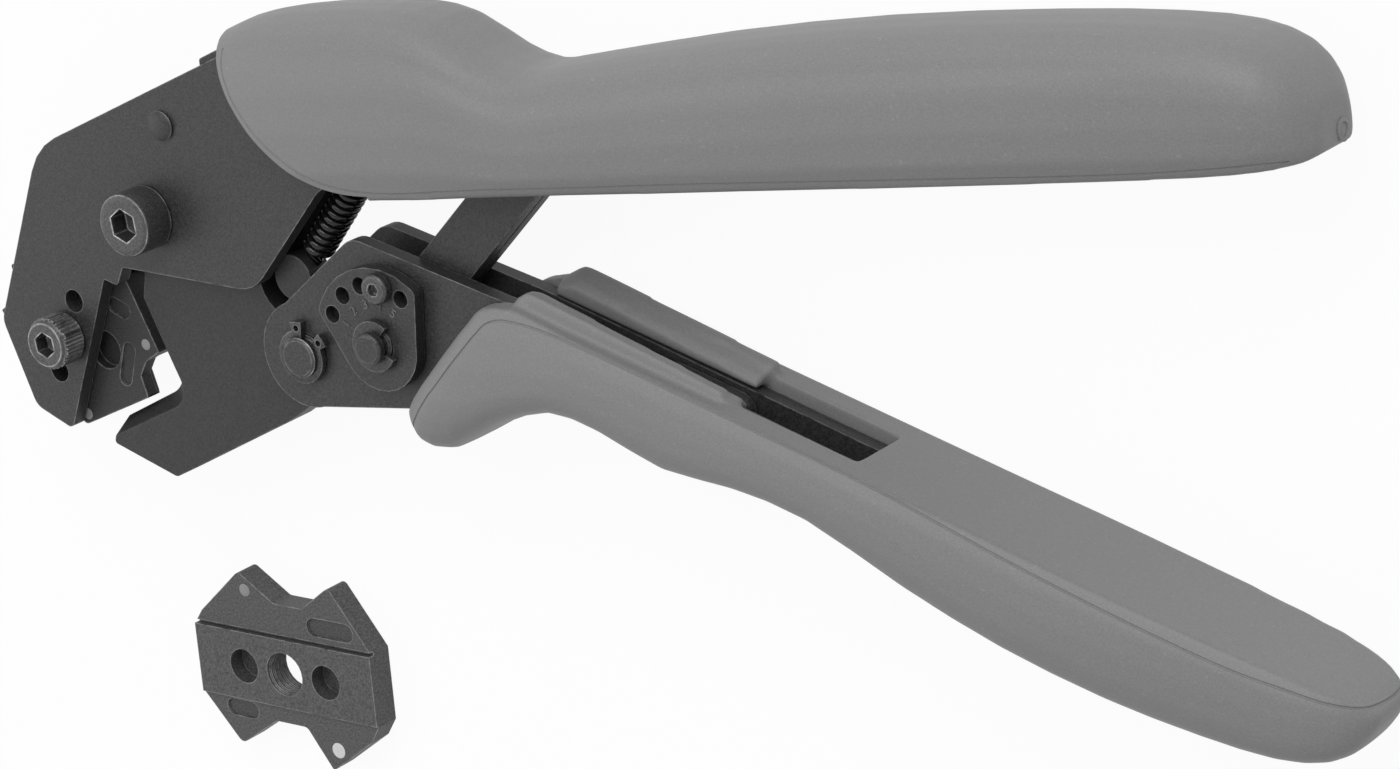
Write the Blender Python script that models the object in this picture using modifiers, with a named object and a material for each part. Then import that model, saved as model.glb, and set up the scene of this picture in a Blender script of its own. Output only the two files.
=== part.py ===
"""Ratchet crimping plier with a screwed-in die and one loose spare die.

The tool lies on its back. The main pivot axis is the Z axis, the handles run to +X, the upper
handle is on the +Y side, and Z = 0 is the surface under the grips. Sizes are in millimetres
and turned into metres where the meshes are made.
"""
import bmesh
import bpy
from math import acos, atan2, ceil, cos, degrees, hypot, pi, radians, sin, tan
from mathutils import Matrix, Vector

MM = 0.001
NAME = "crimping_plier"

# Fits
FIT = 0.25
LINK_PLAY = 0.35
ARC_STEP = 15.0
FINE_STEP = 3.0
ROUND_STEPS = 24
OVERCUT = 1.0

# Stack of plates across the tool, measured from its middle plane
MIDDLE_Z = 10.0
GAP_HALF = 2.2
PLATE = 2.1
OUTER_HALF = GAP_HALF + PLATE
INSERT_HALF = GAP_HALF - FIT
SEAT = OUTER_HALF + FIT
NUT_HEIGHT = MIDDLE_Z - SEAT

# Pivots
PIVOT = (0.0, 0.0)
JAW_PIN = (22.3, -18.5)
ADJUST_PIN = (36.5, -16.6)
ECCENTRIC = 0.9
STRUT_ANGLE = 38.3
STRUT_LENGTH = 44.0
LINK_LOW = (ADJUST_PIN[0] - ECCENTRIC * sin(radians(STRUT_ANGLE)),
            ADJUST_PIN[1] + ECCENTRIC * cos(radians(STRUT_ANGLE)))
LINK_HIGH = (LINK_LOW[0] + STRUT_LENGTH * cos(radians(STRUT_ANGLE)),
             LINK_LOW[1] + STRUT_LENGTH * sin(radians(STRUT_ANGLE)))

# Main pivot
PIVOT_SHANK = 2.9
PIVOT_HEAD = 4.15
PIVOT_HEAD_HEIGHT = 4.5
PIVOT_SOCKET = 2.25
PIVOT_SOCKET_DEPTH = 2.6
BUSH_WALL = 1.2
NUT_RADIUS = 4.6

# Head
HEAD_SLOPE = 16.7
JAW_SLOPE = 60.1
TANG_END = 108.0
TANG_TOP = 15.2
TANG_BOTTOM = 4.8
TANG_NECK = 62.0
SHOULDER_END = 52.0
SHOULDER_TOP = 21.2
RIVET = (5.7, 11.8)
RIVET_RADIUS = 1.7
RIVET_HEAD = 2.05
RIVET_DOME = 0.5
SPACER_RIVET = (24.0, 17.0)
SPRING_PEG = (38.0, 7.6)
PEG_RADIUS = 1.2
STRUT_PIN_RADIUS = 2.0

# Die and its screw
DIE_CENTRE = (-19.5, -16.0)
LOCATING_PITCH = 5.5
LOCATING_RADIUS = 1.55
DIE_SCREW_SHANK = 1.95
DIE_SCREW_HEAD = 3.5
DIE_SCREW_HEIGHT = 4.0
DIE_SCREW_SOCKET = 1.75
MARK_DEPTH = 0.35
DIE_RECESS = 1.4
CAVITY_RELIEF = 1.7
CAVITY_LAND = 1.9
CAVITY = ((-9.4, -25.2, 0.4), (-9.9, -22.2, 0.4), (-8.4, -20.25, 0.4))

# Jaw
PRONG_ROOT = (-4.2, -24.16)
PRONG_ROUND = 2.2
NOTCH_WALL = ((-6.9, -9.6, 0.6), (-4.5, -20.0, 12.0))
JAW_RELIEF = 2.6
PRONG_TIP = (-16.2, -28.45)
PRONG_SLOPE = 19.6
PRONG_CHAMFER = 2.3
PRONG_CHAMFER_AT = 0.77
PRONG_CHAMFER_LENGTH = 24.0
JAW_BOSS = 7.4
JAW_END = 6.3
SPRING_LUG = (20.4, -9.2)
SPRING_LUG_RADIUS = 3.1

# Lower handle
HANDLE_PLATE_END = 6.9
HANDLE_HEEL = (47.0, -25.3)
TANG_LOW = ((58.0, -20.5), (90.0, -31.5), (118.0, -44.5))
TANG_TIP = (121.5, -39.8)
HANDLE_SLOPE = 23.3
JAW_PIN_RADIUS = 2.65
JAW_PIN_PROUD = 1.7
CLIP_THICK = 0.8
GROOVE = 0.45
ADJUST_JOURNAL = 2.1
ADJUST_CRANK = 3.2
WHEEL_THICK = 1.7
WHEEL_TOP = 9.9
WHEEL_LOBE = 6.1
WHEEL_HOLE = 1.12
WHEEL_RING = 7.65
WHEEL_PITCH = 25.0
WHEEL_LOCK_AT = 74.0
LOCK_SCREW_HEAD = 2.0
LOCK_SCREW_HEIGHT = 1.2
LOCK_SOCKET = 0.8
LOCK_SOCKET_DEPTH = 0.7
HANDLE_RIVETS = ((80.0, -25.3), (112.0, -38.8))
HANDLE_RIVET_RADIUS = 1.6
SPACER_REACH = 4.5
SPACER_ROUND = 2.2

# Ratchet
STRUT_WIDTH = 7.0
STRUT_RIVET_AT = 0.76
STRUT_FOOT = 11.0
STRUT_EYE = 4.6
TOOTH_TIP = 8.8
TOOTH_DEPTH = 1.3
TOOTH_COUNT = 7
TOOTH_PITCH = 9.0
TOOTH_FROM = -60.0
TOOTH_LEAN = 0.35
PAWL_PIN = (52.2, -18.6)
PAWL_PIN_RADIUS = 1.3
PAWL_ROOT = 2.4
PAWL_REACH = 7.1
PAWL_AIM = 183.0
PAWL_TIP = 0.7
PAWL_HALF = INSERT_HALF - 0.4
LEAF_HALF = 0.3

# Return spring
SPRING_WIRE = 0.8
SPRING_COIL = 1.75
SPRING_CURLS = 11
SPRING_POINTS = 10

# Grips
GRIP_PLAY = FIT + 0.15
SLOT_HALF = OUTER_HALF + GRIP_PLAY
FRONT_ARC = (41.0, 25.5)
FRONT_ARC_RADIUS = 24.6
UPPER_SLOT_END = 84.0
LOWER_SLOT_END = 104.4
LOWER_SLOT_ROOF = 1.2
LIP_HEIGHT = 1.5
LIP_CREST = 2.5
LIP_WALL = 1.6
LIP_START = 58.9
LIP_RISE = 2.4
LIP_END = 88.0
LIP_ROOT = 0.8
TOP_FACE = -31.0
GRIP_STEPS = 14
GRIP_INNER = 0.84
GRIP_FULL = 0.38
GRIP_SHOULDER = 0.16
UPPER_SQUARE = 2.9
LOWER_SQUARE = 3.1

# Loose die
LOOSE_THICK = 4.0
LOOSE_STEP = 0.4
LOOSE_TURN = -6.8
LOOSE_CENTRE = (-3.4, -66.6)
LOOSE_THREAD = 3.1
LOOSE_BLIND = 2.45
LOOSE_BLIND_DEPTH = 2.4
LOOSE_PITCH = 7.2
LOOSE_BAND = 15.4
LOOSE_BAND_EDGE = 5.2
LOOSE_STEP_AT = 5.0
LOOSE_REACH = 20.0


def clear_scene():
    """Remove every object of the open scene."""
    for item in list(bpy.data.objects):
        bpy.data.objects.remove(item, do_unlink=True)


def collection(name):
    """Return a new collection linked to the scene."""
    made = bpy.data.collections.new(name)
    bpy.context.scene.collection.children.link(made)
    return made


def material(name, colour, roughness, metallic):
    """Return a plain Principled material."""
    made = bpy.data.materials.new(name)
    made.use_nodes = True
    shader = made.node_tree.nodes["Principled BSDF"]
    shader.inputs["Base Color"].default_value = (*colour, 1.0)
    shader.inputs["Roughness"].default_value = roughness
    shader.inputs["Metallic"].default_value = metallic
    return made


clear_scene()
PARTS = collection(NAME)
CUTTERS = collection(NAME + "_cutters")
STEEL = material("black_oxide_steel", (0.065, 0.065, 0.066), 0.45, 0.8)
DIE_STEEL = material("die_steel", (0.085, 0.085, 0.086), 0.55, 0.8)
SCREW_STEEL = material("screw_steel", (0.12, 0.12, 0.12), 0.38, 0.9)
CLIP_STEEL = material("clip_steel", (0.09, 0.09, 0.09), 0.35, 0.9)
SPRING_STEEL = material("spring_steel", (0.02, 0.02, 0.02), 0.2, 0.9)
GRIP_PLASTIC = material("grip_plastic", (0.24, 0.24, 0.24), 0.6, 0.0)


def polar(centre, radius, angle):
    """Return the point at an angle in degrees round a centre."""
    return (centre[0] + radius * cos(radians(angle)), centre[1] + radius * sin(radians(angle)))


def arc(centre, radius, start, end, step=ARC_STEP):
    """Return the points of an arc, counter-clockwise where end is above start."""
    steps = max(2, ceil(abs(end - start) / step))
    return [polar(centre, radius, start + (end - start) * i / steps) for i in range(steps + 1)]


def circle(centre, radius, steps=ROUND_STEPS):
    """Return the points of a full circle."""
    return [polar(centre, radius, 360.0 * i / steps) for i in range(steps)]


def rounded(corners):
    """Return an outline whose corners (x, y, radius) are rounded with arcs."""
    points = []
    count = len(corners)
    for i, corner in enumerate(corners):
        here = Vector(corner[:2])
        if len(corner) < 3:
            points.append(tuple(here))
            continue
        to_last = (Vector(corners[i - 1][:2]) - here).normalized()
        to_next = (Vector(corners[(i + 1) % count][:2]) - here).normalized()
        half = acos(max(-1.0, min(1.0, to_last.dot(to_next)))) / 2
        centre = here + (to_last + to_next).normalized() * (corner[2] / sin(half))
        first = here + to_last * (corner[2] / tan(half)) - centre
        last = here + to_next * (corner[2] / tan(half)) - centre
        start = degrees(atan2(first.y, first.x))
        sweep = (degrees(atan2(last.y, last.x)) - start + 180.0) % 360.0 - 180.0
        points += arc(tuple(centre), corner[2], start, start + sweep)
    return points


def turned_about(point, centre):
    """Return a point turned half a turn about a centre."""
    return (2 * centre[0] - point[0], 2 * centre[1] - point[1], *point[2:])


def add(name, mesh, finish, axis=None, group=PARTS):
    """Put a mesh into the scene, parented to the empty on its joint axis where it moves."""
    made = bpy.data.objects.new(name, mesh)
    group.objects.link(made)
    if finish:
        mesh.materials.append(finish)
    if axis:
        made.parent = axis
        made.matrix_parent_inverse = Matrix.Translation(axis.location).inverted()
    return made


def weld(mesh):
    """Merge the loose caps of a mesh and turn its faces outwards."""
    work = bmesh.new()
    work.from_mesh(mesh)
    bmesh.ops.remove_doubles(work, verts=work.verts, dist=1e-7)
    bmesh.ops.recalc_face_normals(work, faces=work.faces)
    work.to_mesh(mesh)
    work.free()


def curve_mesh(name, curve, place=Matrix()):
    """Turn a curve into a welded mesh and remove the curve."""
    source = bpy.data.objects.new(name + "_curve", curve)
    bpy.context.scene.collection.objects.link(source)
    source.matrix_world = place
    graph = bpy.context.evaluated_depsgraph_get()
    mesh = bpy.data.meshes.new_from_object(source.evaluated_get(graph))
    mesh.transform(place)
    bpy.data.objects.remove(source)
    weld(mesh)
    mesh.name = name
    return mesh


def flat_mesh(name, outline, holes, low, high):
    """Return a flat outline with holes, filled from one height to another."""
    curve = bpy.data.curves.new(name, "CURVE")
    curve.dimensions = "2D"
    curve.fill_mode = "BOTH"
    curve.extrude = (high - low) / 2 * MM
    for loop in [outline, *holes]:
        spline = curve.splines.new("POLY")
        spline.points.add(len(loop) - 1)
        for point, place in zip(spline.points, loop):
            point.co = (place[0] * MM, place[1] * MM, 0.0, 1.0)
        spline.use_cyclic_u = True
    middle = (MIDDLE_Z + (low + high) / 2) * MM
    return curve_mesh(name, curve, Matrix.Translation((0.0, 0.0, middle)))


def flat(name, outline, holes, low, high, finish=STEEL, axis=None):
    """Add a flat piece; heights are measured from the middle plane."""
    return add(name, flat_mesh(name, outline, holes, low, high), finish, axis)


def turned(name, centre, profile, finish=STEEL, axis=None):
    """Add a turned piece from (radius, height) points that run from its top to its bottom."""
    mesh = bpy.data.meshes.new(name)
    points = [(radius * MM, 0.0, (MIDDLE_Z + height) * MM) for radius, height in profile]
    mesh.from_pydata(points, [(i, i + 1) for i in range(len(points) - 1)], [])
    made = add(name, mesh, finish, axis)
    made.location = (centre[0] * MM, centre[1] * MM, 0.0)
    screw = made.modifiers.new("turn", "SCREW")
    screw.steps = ROUND_STEPS
    screw.render_steps = ROUND_STEPS
    screw.use_merge_vertices = True
    screw.merge_threshold = 1e-6
    return made


def pin(name, centre, radius, low, high, finish=STEEL, axis=None):
    """Add a plain pin with broken end edges."""
    edge = 0.25
    profile = [(0, high), (radius - edge, high), (radius, high - edge),
               (radius, low + edge), (radius - edge, low), (0, low)]
    return turned(name, centre, profile, finish, axis)


def cutter(name, mesh):
    """Add a hidden cutter."""
    made = add(name, mesh, None, None, CUTTERS)
    made.hide_render = True
    made.display_type = "WIRE"
    return made


def cut(target, tool, operation="DIFFERENCE"):
    """Cut one object with another."""
    step = target.modifiers.new(tool.name, "BOOLEAN")
    step.operation = operation
    step.object = tool


def cut_flat(target, name, outline, low, high):
    """Cut a flat outline out of an object between two heights."""
    cut(target, cutter(name, flat_mesh(name, outline, [], low, high)))


def socket(target, name, centre, radius, top, depth):
    """Cut a hexagon socket into a screw head."""
    cut_flat(target, name, circle(centre, radius, 6), top - depth, top + OVERCUT)


def empty(name, centre):
    """Add an empty on a joint axis."""
    made = bpy.data.objects.new(name, None)
    made.location = (centre[0] * MM, centre[1] * MM, MIDDLE_Z * MM)
    PARTS.objects.link(made)
    return made


JAW_AXIS = empty("jaw_axis", PIVOT)
HANDLE_AXIS = empty("handle_axis", JAW_PIN)
STRUT_AXIS = empty("strut_axis", LINK_HIGH)
PAWL_AXIS = empty("pawl_axis", PAWL_PIN)


def head_outline():
    """Return the outline of a head plate with its tang."""
    top_corner = (-17.4, 9.7)
    shoulder = top_corner[0] + (SHOULDER_TOP - top_corner[1]) / tan(radians(HEAD_SLOPE))
    corners = [
        (*top_corner, 9.5),
        (-30.85, -13.65, 2.5),
        (-27.95, -25.65, 2.4),
        (-22.2, -28.85, 0.8),
        (-10.4, -8.3, 0.3),
        (-8.2, -9.2, 0.6),
        (-6.6, -6.75, 0.6),
        (15.6, -10.2, 5.5),
        (30.2, 2.9, 5.5),
        (40.0, TANG_BOTTOM, 8.0),
        (TANG_END, TANG_BOTTOM, 2.0),
        (TANG_END, TANG_TOP, 2.0),
        (TANG_NECK, TANG_TOP, 6.0),
        (SHOULDER_END, SHOULDER_TOP, 5.0),
        (shoulder, SHOULDER_TOP, 6.0),
    ]
    return rounded(corners)


def locating_holes():
    """Return the two locating holes beside the die screw."""
    return [circle(polar(DIE_CENTRE, side * LOCATING_PITCH, JAW_SLOPE), LOCATING_RADIUS)
            for side in (1, -1)]


def make_head():
    """Make the fixed head: two plates, their spacer, pins, rivets and the main pivot."""
    shared = [circle(PIVOT, PIVOT_SHANK + FIT), circle(RIVET, RIVET_RADIUS + FIT),
              circle(SPACER_RIVET, HANDLE_RIVET_RADIUS + FIT), circle(SPRING_PEG, PEG_RADIUS + FIT),
              circle(LINK_HIGH, STRUT_PIN_RADIUS + FIT)]
    front = shared + locating_holes() + [circle(DIE_CENTRE, DIE_SCREW_SHANK + FIT)]
    flat("head_plate_front", head_outline(), front, GAP_HALF, OUTER_HALF)
    flat("head_plate_rear", head_outline(), shared, -OUTER_HALF, -GAP_HALF)
    spacer = rounded([(11.5, 14.2, 1.0), (27.5, 14.2, 1.0), (27.5, 21.0, 1.0), (16.8, 21.0, 0.6),
                      (15.4, 20.6), (12.2, 19.6, 0.4)])
    flat("head_spacer", spacer, [circle(SPACER_RIVET, HANDLE_RIVET_RADIUS + FIT)],
         -INSERT_HALF, INSERT_HALF)
    pin("spacer_rivet", SPACER_RIVET, HANDLE_RIVET_RADIUS, -OUTER_HALF, OUTER_HALF, SCREW_STEEL)
    pin("spring_peg", SPRING_PEG, PEG_RADIUS, -OUTER_HALF, OUTER_HALF, SCREW_STEEL)
    pin("strut_pin", LINK_HIGH, STRUT_PIN_RADIUS, -OUTER_HALF, OUTER_HALF, SCREW_STEEL)
    crown = SEAT + RIVET_DOME
    dome = [(0, crown), (0.55 * RIVET_HEAD, crown - 0.1), (0.85 * RIVET_HEAD, SEAT + 0.25),
            (RIVET_HEAD, SEAT), (RIVET_RADIUS, SEAT)]
    turned("head_rivet", RIVET, dome + [(r, -z) for r, z in reversed(dome)], STEEL)
    make_pivot()


def make_pivot():
    """Make the pivot screw, the bush that the jaw turns on and the nut."""
    top = SEAT + PIVOT_HEAD_HEIGHT
    end = -SEAT - NUT_HEIGHT
    chamfer = 0.35
    profile = [(0, top), (PIVOT_HEAD - chamfer, top), (PIVOT_HEAD, top - chamfer), (PIVOT_HEAD, SEAT),
               (PIVOT_SHANK, SEAT), (PIVOT_SHANK, end + chamfer), (PIVOT_SHANK - chamfer, end), (0, end)]
    screw = turned("pivot_screw", PIVOT, profile, SCREW_STEEL)
    socket(screw, "pivot_socket", PIVOT, PIVOT_SOCKET, top, PIVOT_SOCKET_DEPTH)
    inner = PIVOT_SHANK + FIT
    flat("pivot_bush", circle(PIVOT, inner + BUSH_WALL), [circle(PIVOT, inner)],
         -INSERT_HALF, INSERT_HALF, SCREW_STEEL)
    flat("pivot_nut", circle(PIVOT, NUT_RADIUS, 6), [circle(PIVOT, inner)], end, -SEAT, SCREW_STEEL)


def fixed_die_outline():
    """Return the outline of the mounted die, with a cavity on each side."""
    working = [(-21.9, -29.0, 0.8), *CAVITY, (-5.75, -18.95, 0.2), (-9.1, -8.6, 0.5)]
    hidden = [(-13.5, -4.6, 0.5), (-17.3, -3.6, 0.8)]
    stored = [turned_about(point, DIE_CENTRE) for point in working[1:5]]
    return rounded(working + hidden + stored + [(-28.4, -22.0, 0.8)])


def make_die():
    """Make the mounted die with its window and marks, and the screw that holds it."""
    bore = DIE_SCREW_SHANK + FIT
    die = flat("fixed_die", fixed_die_outline(), [circle(DIE_CENTRE, bore)],
               -INSERT_HALF, INSERT_HALF, DIE_STEEL)
    top = INSERT_HALF
    cut_flat(die, "die_recess", circle((-15.3, -18.6), 2.6), top - DIE_RECESS, top + OVERCUT)
    for name, mark in (("die_long_mark", stadium_outline((-11.9, -20.6), 2.1, 1.0, 66.0)),
                       ("die_short_mark", stadium_outline((-11.3, -12.9), 0.9, 1.05, -28.0))):
        cut_flat(die, name, mark, top - MARK_DEPTH, top + OVERCUT)
    behind = [(x - CAVITY_RELIEF, y) for x, y, _ in CAVITY]
    (low_x, low_y, _), (high_x, high_y, _) = CAVITY[0], CAVITY[2]
    mouth = [(low_x + 1.0, low_y - 2.0), (behind[0][0], low_y - 2.0), *behind,
             (high_x + 3.0, high_y + 0.6), (high_x + 4.0, high_y - 2.0)]
    stored = [turned_about(point, DIE_CENTRE) for point in mouth]
    for name, relief in (("mouth_relief", mouth), ("stored_relief", stored)):
        cut_flat(die, name, relief, -INSERT_HALF - OVERCUT, INSERT_HALF - CAVITY_LAND)
    head = SEAT + DIE_SCREW_HEIGHT
    edge = 0.4
    profile = [(0, head), (DIE_SCREW_HEAD - edge, head), (DIE_SCREW_HEAD, head - edge),
               (DIE_SCREW_HEAD, SEAT), (DIE_SCREW_SHANK, SEAT), (DIE_SCREW_SHANK, edge - INSERT_HALF),
               (DIE_SCREW_SHANK - edge, -INSERT_HALF), (0, -INSERT_HALF)]
    screw = turned("die_screw", DIE_CENTRE, profile, SCREW_STEEL)
    socket(screw, "die_socket", DIE_CENTRE, DIE_SCREW_SOCKET, head, DIE_SCREW_HEIGHT / 2)


def stadium_outline(centre, half, radius, angle):
    """Return a round-ended slot, half the length between its centres at an angle."""
    ends = polar(centre, half, angle), polar(centre, -half, angle)
    return arc(ends[0], radius, angle - 90, angle + 90) + arc(ends[1], radius, angle + 90, angle + 270)


def make_jaw():
    """Make the moving jaw with its chamfered notch."""
    outline = rounded([*NOTCH_WALL, (*PRONG_ROOT, PRONG_ROUND), (*PRONG_TIP, 1.2),
                       (-17.4, -31.5, 0.8), (-7.3, -36.1, 1.0), (12.0, -29.2)])
    outline += arc(JAW_PIN, JAW_END, 250.0, 400.0)
    outline += arc(SPRING_LUG, SPRING_LUG_RADIUS, -25.0, 140.0)
    outline += [(14.5, -9.0), (13.2, -5.5)]
    outline += arc(PIVOT, JAW_BOSS, 10.0, 190.0)
    bore = PIVOT_SHANK + 2 * FIT + BUSH_WALL
    jaw = flat("moving_jaw", outline, [circle(PIVOT, bore), circle(JAW_PIN, JAW_PIN_RADIUS + FIT)],
               -INSERT_HALF, INSERT_HALF, STEEL, JAW_AXIS)
    relief = stadium_outline((16.0, -12.4), 0.9, 1.4, 45.0)
    cut_flat(jaw, "jaw_relief", relief, INSERT_HALF - JAW_RELIEF, INSERT_HALF + OVERCUT)
    side = PRONG_CHAMFER * 2 ** 0.5
    work = bmesh.new()
    bmesh.ops.create_cube(work, size=1.0)
    bmesh.ops.scale(work, vec=(PRONG_CHAMFER_LENGTH * MM, side * MM, side * MM), verts=work.verts)
    bmesh.ops.rotate(work, matrix=Matrix.Rotation(radians(45.0), 3, "X"), verts=work.verts)
    bmesh.ops.rotate(work, matrix=Matrix.Rotation(radians(PRONG_SLOPE), 3, "Z"), verts=work.verts)
    middle = Vector(PRONG_ROOT).lerp(Vector(PRONG_TIP), PRONG_CHAMFER_AT)
    bmesh.ops.translate(work, verts=work.verts,
                        vec=(middle.x * MM, middle.y * MM, (MIDDLE_Z + INSERT_HALF) * MM))
    mesh = bpy.data.meshes.new("prong_chamfer")
    work.to_mesh(mesh)
    work.free()
    cut(jaw, cutter("prong_chamfer", mesh))


def handle_outline():
    """Return the outline of a lower handle plate with its tang."""
    corners = [(38.0, -25.5), (*HANDLE_HEEL, 4.0), (*TANG_LOW[0], 1.5), TANG_LOW[1], (*TANG_LOW[2], 2.0),
               (*TANG_TIP, 2.0), (100.0, -30.9), (57.0, -12.1, 6.0), (33.6, -3.4, 3.0), (17.6, -13.6, 2.0)]
    points = rounded(corners)
    return points + arc(JAW_PIN, HANDLE_PLATE_END, 172.0, 265.0)


def ring_clip(centre, inner, outer, gap_at, gap):
    """Return the outline of an open spring ring."""
    start = gap_at + gap / 2
    end = gap_at - gap / 2 + 360.0
    return arc(centre, outer, start, end) + arc(centre, inner, end, start)


def circlip_outline():
    """Return an external circlip with its two lugs."""
    inner = JAW_PIN_RADIUS - GROOVE + FIT
    outer = JAW_PIN_RADIUS + 0.9
    lug = outer + 1.1
    gap_at = 58.0
    gap = 36.0
    lug_width = 24.0
    start = gap_at + gap / 2
    end = gap_at - gap / 2 + 360.0
    points = arc(JAW_PIN, lug, start, start + lug_width)
    points += arc(JAW_PIN, outer, start + lug_width, end - lug_width)
    points += arc(JAW_PIN, lug, end - lug_width, end)
    return points + arc(JAW_PIN, inner, end, start)


def make_jaw_pin():
    """Make the pin between the jaw and the lower handle, and its two circlips."""
    top = OUTER_HALF + JAW_PIN_PROUD
    groove = JAW_PIN_RADIUS - GROOVE
    edge = 0.3
    half = [(0, top), (JAW_PIN_RADIUS - edge, top), (JAW_PIN_RADIUS, top - edge),
            (JAW_PIN_RADIUS, SEAT + CLIP_THICK + FIT), (groove, SEAT + CLIP_THICK + FIT),
            (groove, SEAT - FIT), (JAW_PIN_RADIUS, SEAT - FIT)]
    turned("jaw_pin", JAW_PIN, half + [(r, -z) for r, z in reversed(half)], STEEL, HANDLE_AXIS)
    flat("circlip_front", circlip_outline(), [], SEAT, SEAT + CLIP_THICK, CLIP_STEEL, HANDLE_AXIS)
    flat("circlip_rear", circlip_outline(), [], -SEAT - CLIP_THICK, -SEAT, CLIP_STEEL, HANDLE_AXIS)


def wheel_outline():
    """Return the teardrop outline of the adjusting wheel."""
    top = arc(ADJUST_PIN, WHEEL_TOP, 47.0, 146.0)
    lobe = arc(ADJUST_PIN, WHEEL_LOBE, 200.0, 340.0)
    right = polar(ADJUST_PIN, WHEEL_TOP, 41.0)
    left = polar(ADJUST_PIN, WHEEL_TOP, 153.0)
    return rounded([(*right, 0.9)] + top + [(*left, 1.2)] + lobe)


def make_adjuster():
    """Make the eccentric pin of the strut with its wheel, clip and lock screw."""
    face = SEAT + WHEEL_THICK
    clip = face + FIT
    top = clip + CLIP_THICK + FIT + 1.1
    groove = ADJUST_JOURNAL - GROOVE
    edge = 0.3
    profile = [(0, top), (ADJUST_JOURNAL - edge, top), (ADJUST_JOURNAL, top - edge),
               (ADJUST_JOURNAL, clip + CLIP_THICK + FIT), (groove, clip + CLIP_THICK + FIT),
               (groove, clip - FIT), (ADJUST_JOURNAL, clip - FIT), (ADJUST_JOURNAL, -SEAT),
               (1.6 * ADJUST_JOURNAL, -SEAT), (1.6 * ADJUST_JOURNAL, -SEAT - 1.0), (0, -SEAT - 1.0)]
    journal = turned("adjust_pin", ADJUST_PIN, profile, STEEL, HANDLE_AXIS)
    crank = flat_mesh("adjust_crank", circle(LINK_LOW, ADJUST_CRANK), [], -INSERT_HALF, INSERT_HALF)
    cut(journal, cutter("adjust_crank", crank), "UNION")
    ring = [WHEEL_LOCK_AT + WHEEL_PITCH * step for step in (-1, 0, 1, 2, 3)]
    holes = [circle(polar(ADJUST_PIN, WHEEL_RING, angle), WHEEL_HOLE, 20) for angle in ring]
    flat("adjust_wheel", wheel_outline(), [circle(ADJUST_PIN, ADJUST_JOURNAL + FIT)] + holes,
         SEAT, face, STEEL, HANDLE_AXIS)
    flat("wheel_clip", ring_clip(ADJUST_PIN, groove + FIT, ADJUST_JOURNAL + 1.25, 5.0, 76.0), [],
         clip, clip + CLIP_THICK, CLIP_STEEL, HANDLE_AXIS)
    shank = WHEEL_HOLE - FIT
    head = clip + LOCK_SCREW_HEIGHT
    screw = [(0, head), (LOCK_SCREW_HEAD - edge, head), (LOCK_SCREW_HEAD, head - edge),
             (LOCK_SCREW_HEAD, clip), (shank, clip), (shank, GAP_HALF), (0, GAP_HALF)]
    lock = polar(ADJUST_PIN, WHEEL_RING, WHEEL_LOCK_AT)
    made = turned("wheel_lock_screw", lock, screw, SCREW_STEEL, HANDLE_AXIS)
    socket(made, "lock_socket", lock, LOCK_SOCKET, head, LOCK_SOCKET_DEPTH)


def make_handle():
    """Make the lower handle's plates, spacer and rivets."""
    rivets = [circle(point, HANDLE_RIVET_RADIUS + FIT) for point in HANDLE_RIVETS]
    shared = rivets + [circle(JAW_PIN, JAW_PIN_RADIUS + FIT), circle(ADJUST_PIN, ADJUST_JOURNAL + FIT),
                       circle(PAWL_PIN, PAWL_PIN_RADIUS + FIT)]
    lock = circle(polar(ADJUST_PIN, WHEEL_RING, WHEEL_LOCK_AT), WHEEL_HOLE, 20)
    outline = handle_outline()
    flat("handle_plate_front", outline, shared + [lock], GAP_HALF, OUTER_HALF, STEEL, HANDLE_AXIS)
    flat("handle_plate_rear", outline, shared, -OUTER_HALF, -GAP_HALF, STEEL, HANDLE_AXIS)
    for number, (x, y) in enumerate(HANDLE_RIVETS, 1):
        pin(f"handle_rivet_{number}", (x, y), HANDLE_RIVET_RADIUS, -OUTER_HALF, OUTER_HALF,
            SCREW_STEEL, HANDLE_AXIS)
        spacer = stadium_outline((x, y), SPACER_REACH, SPACER_ROUND, -HANDLE_SLOPE)
        flat(f"handle_spacer_{number}", spacer, [rivets[number - 1]], -INSERT_HALF, INSERT_HALF,
             STEEL, HANDLE_AXIS)
    make_jaw_pin()
    make_adjuster()


def tooth_points():
    """Return the saw teeth on the lower end of the strut, counter-clockwise."""
    points = []
    for step in range(TOOTH_COUNT):
        start = TOOTH_FROM + step * TOOTH_PITCH
        points.append(polar(LINK_LOW, TOOTH_TIP - TOOTH_DEPTH, start))
        points.append(polar(LINK_LOW, TOOTH_TIP, start + TOOTH_LEAN * TOOTH_PITCH))
    points.append(polar(LINK_LOW, TOOTH_TIP - TOOTH_DEPTH, TOOTH_FROM + TOOTH_COUNT * TOOTH_PITCH))
    return points


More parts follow.
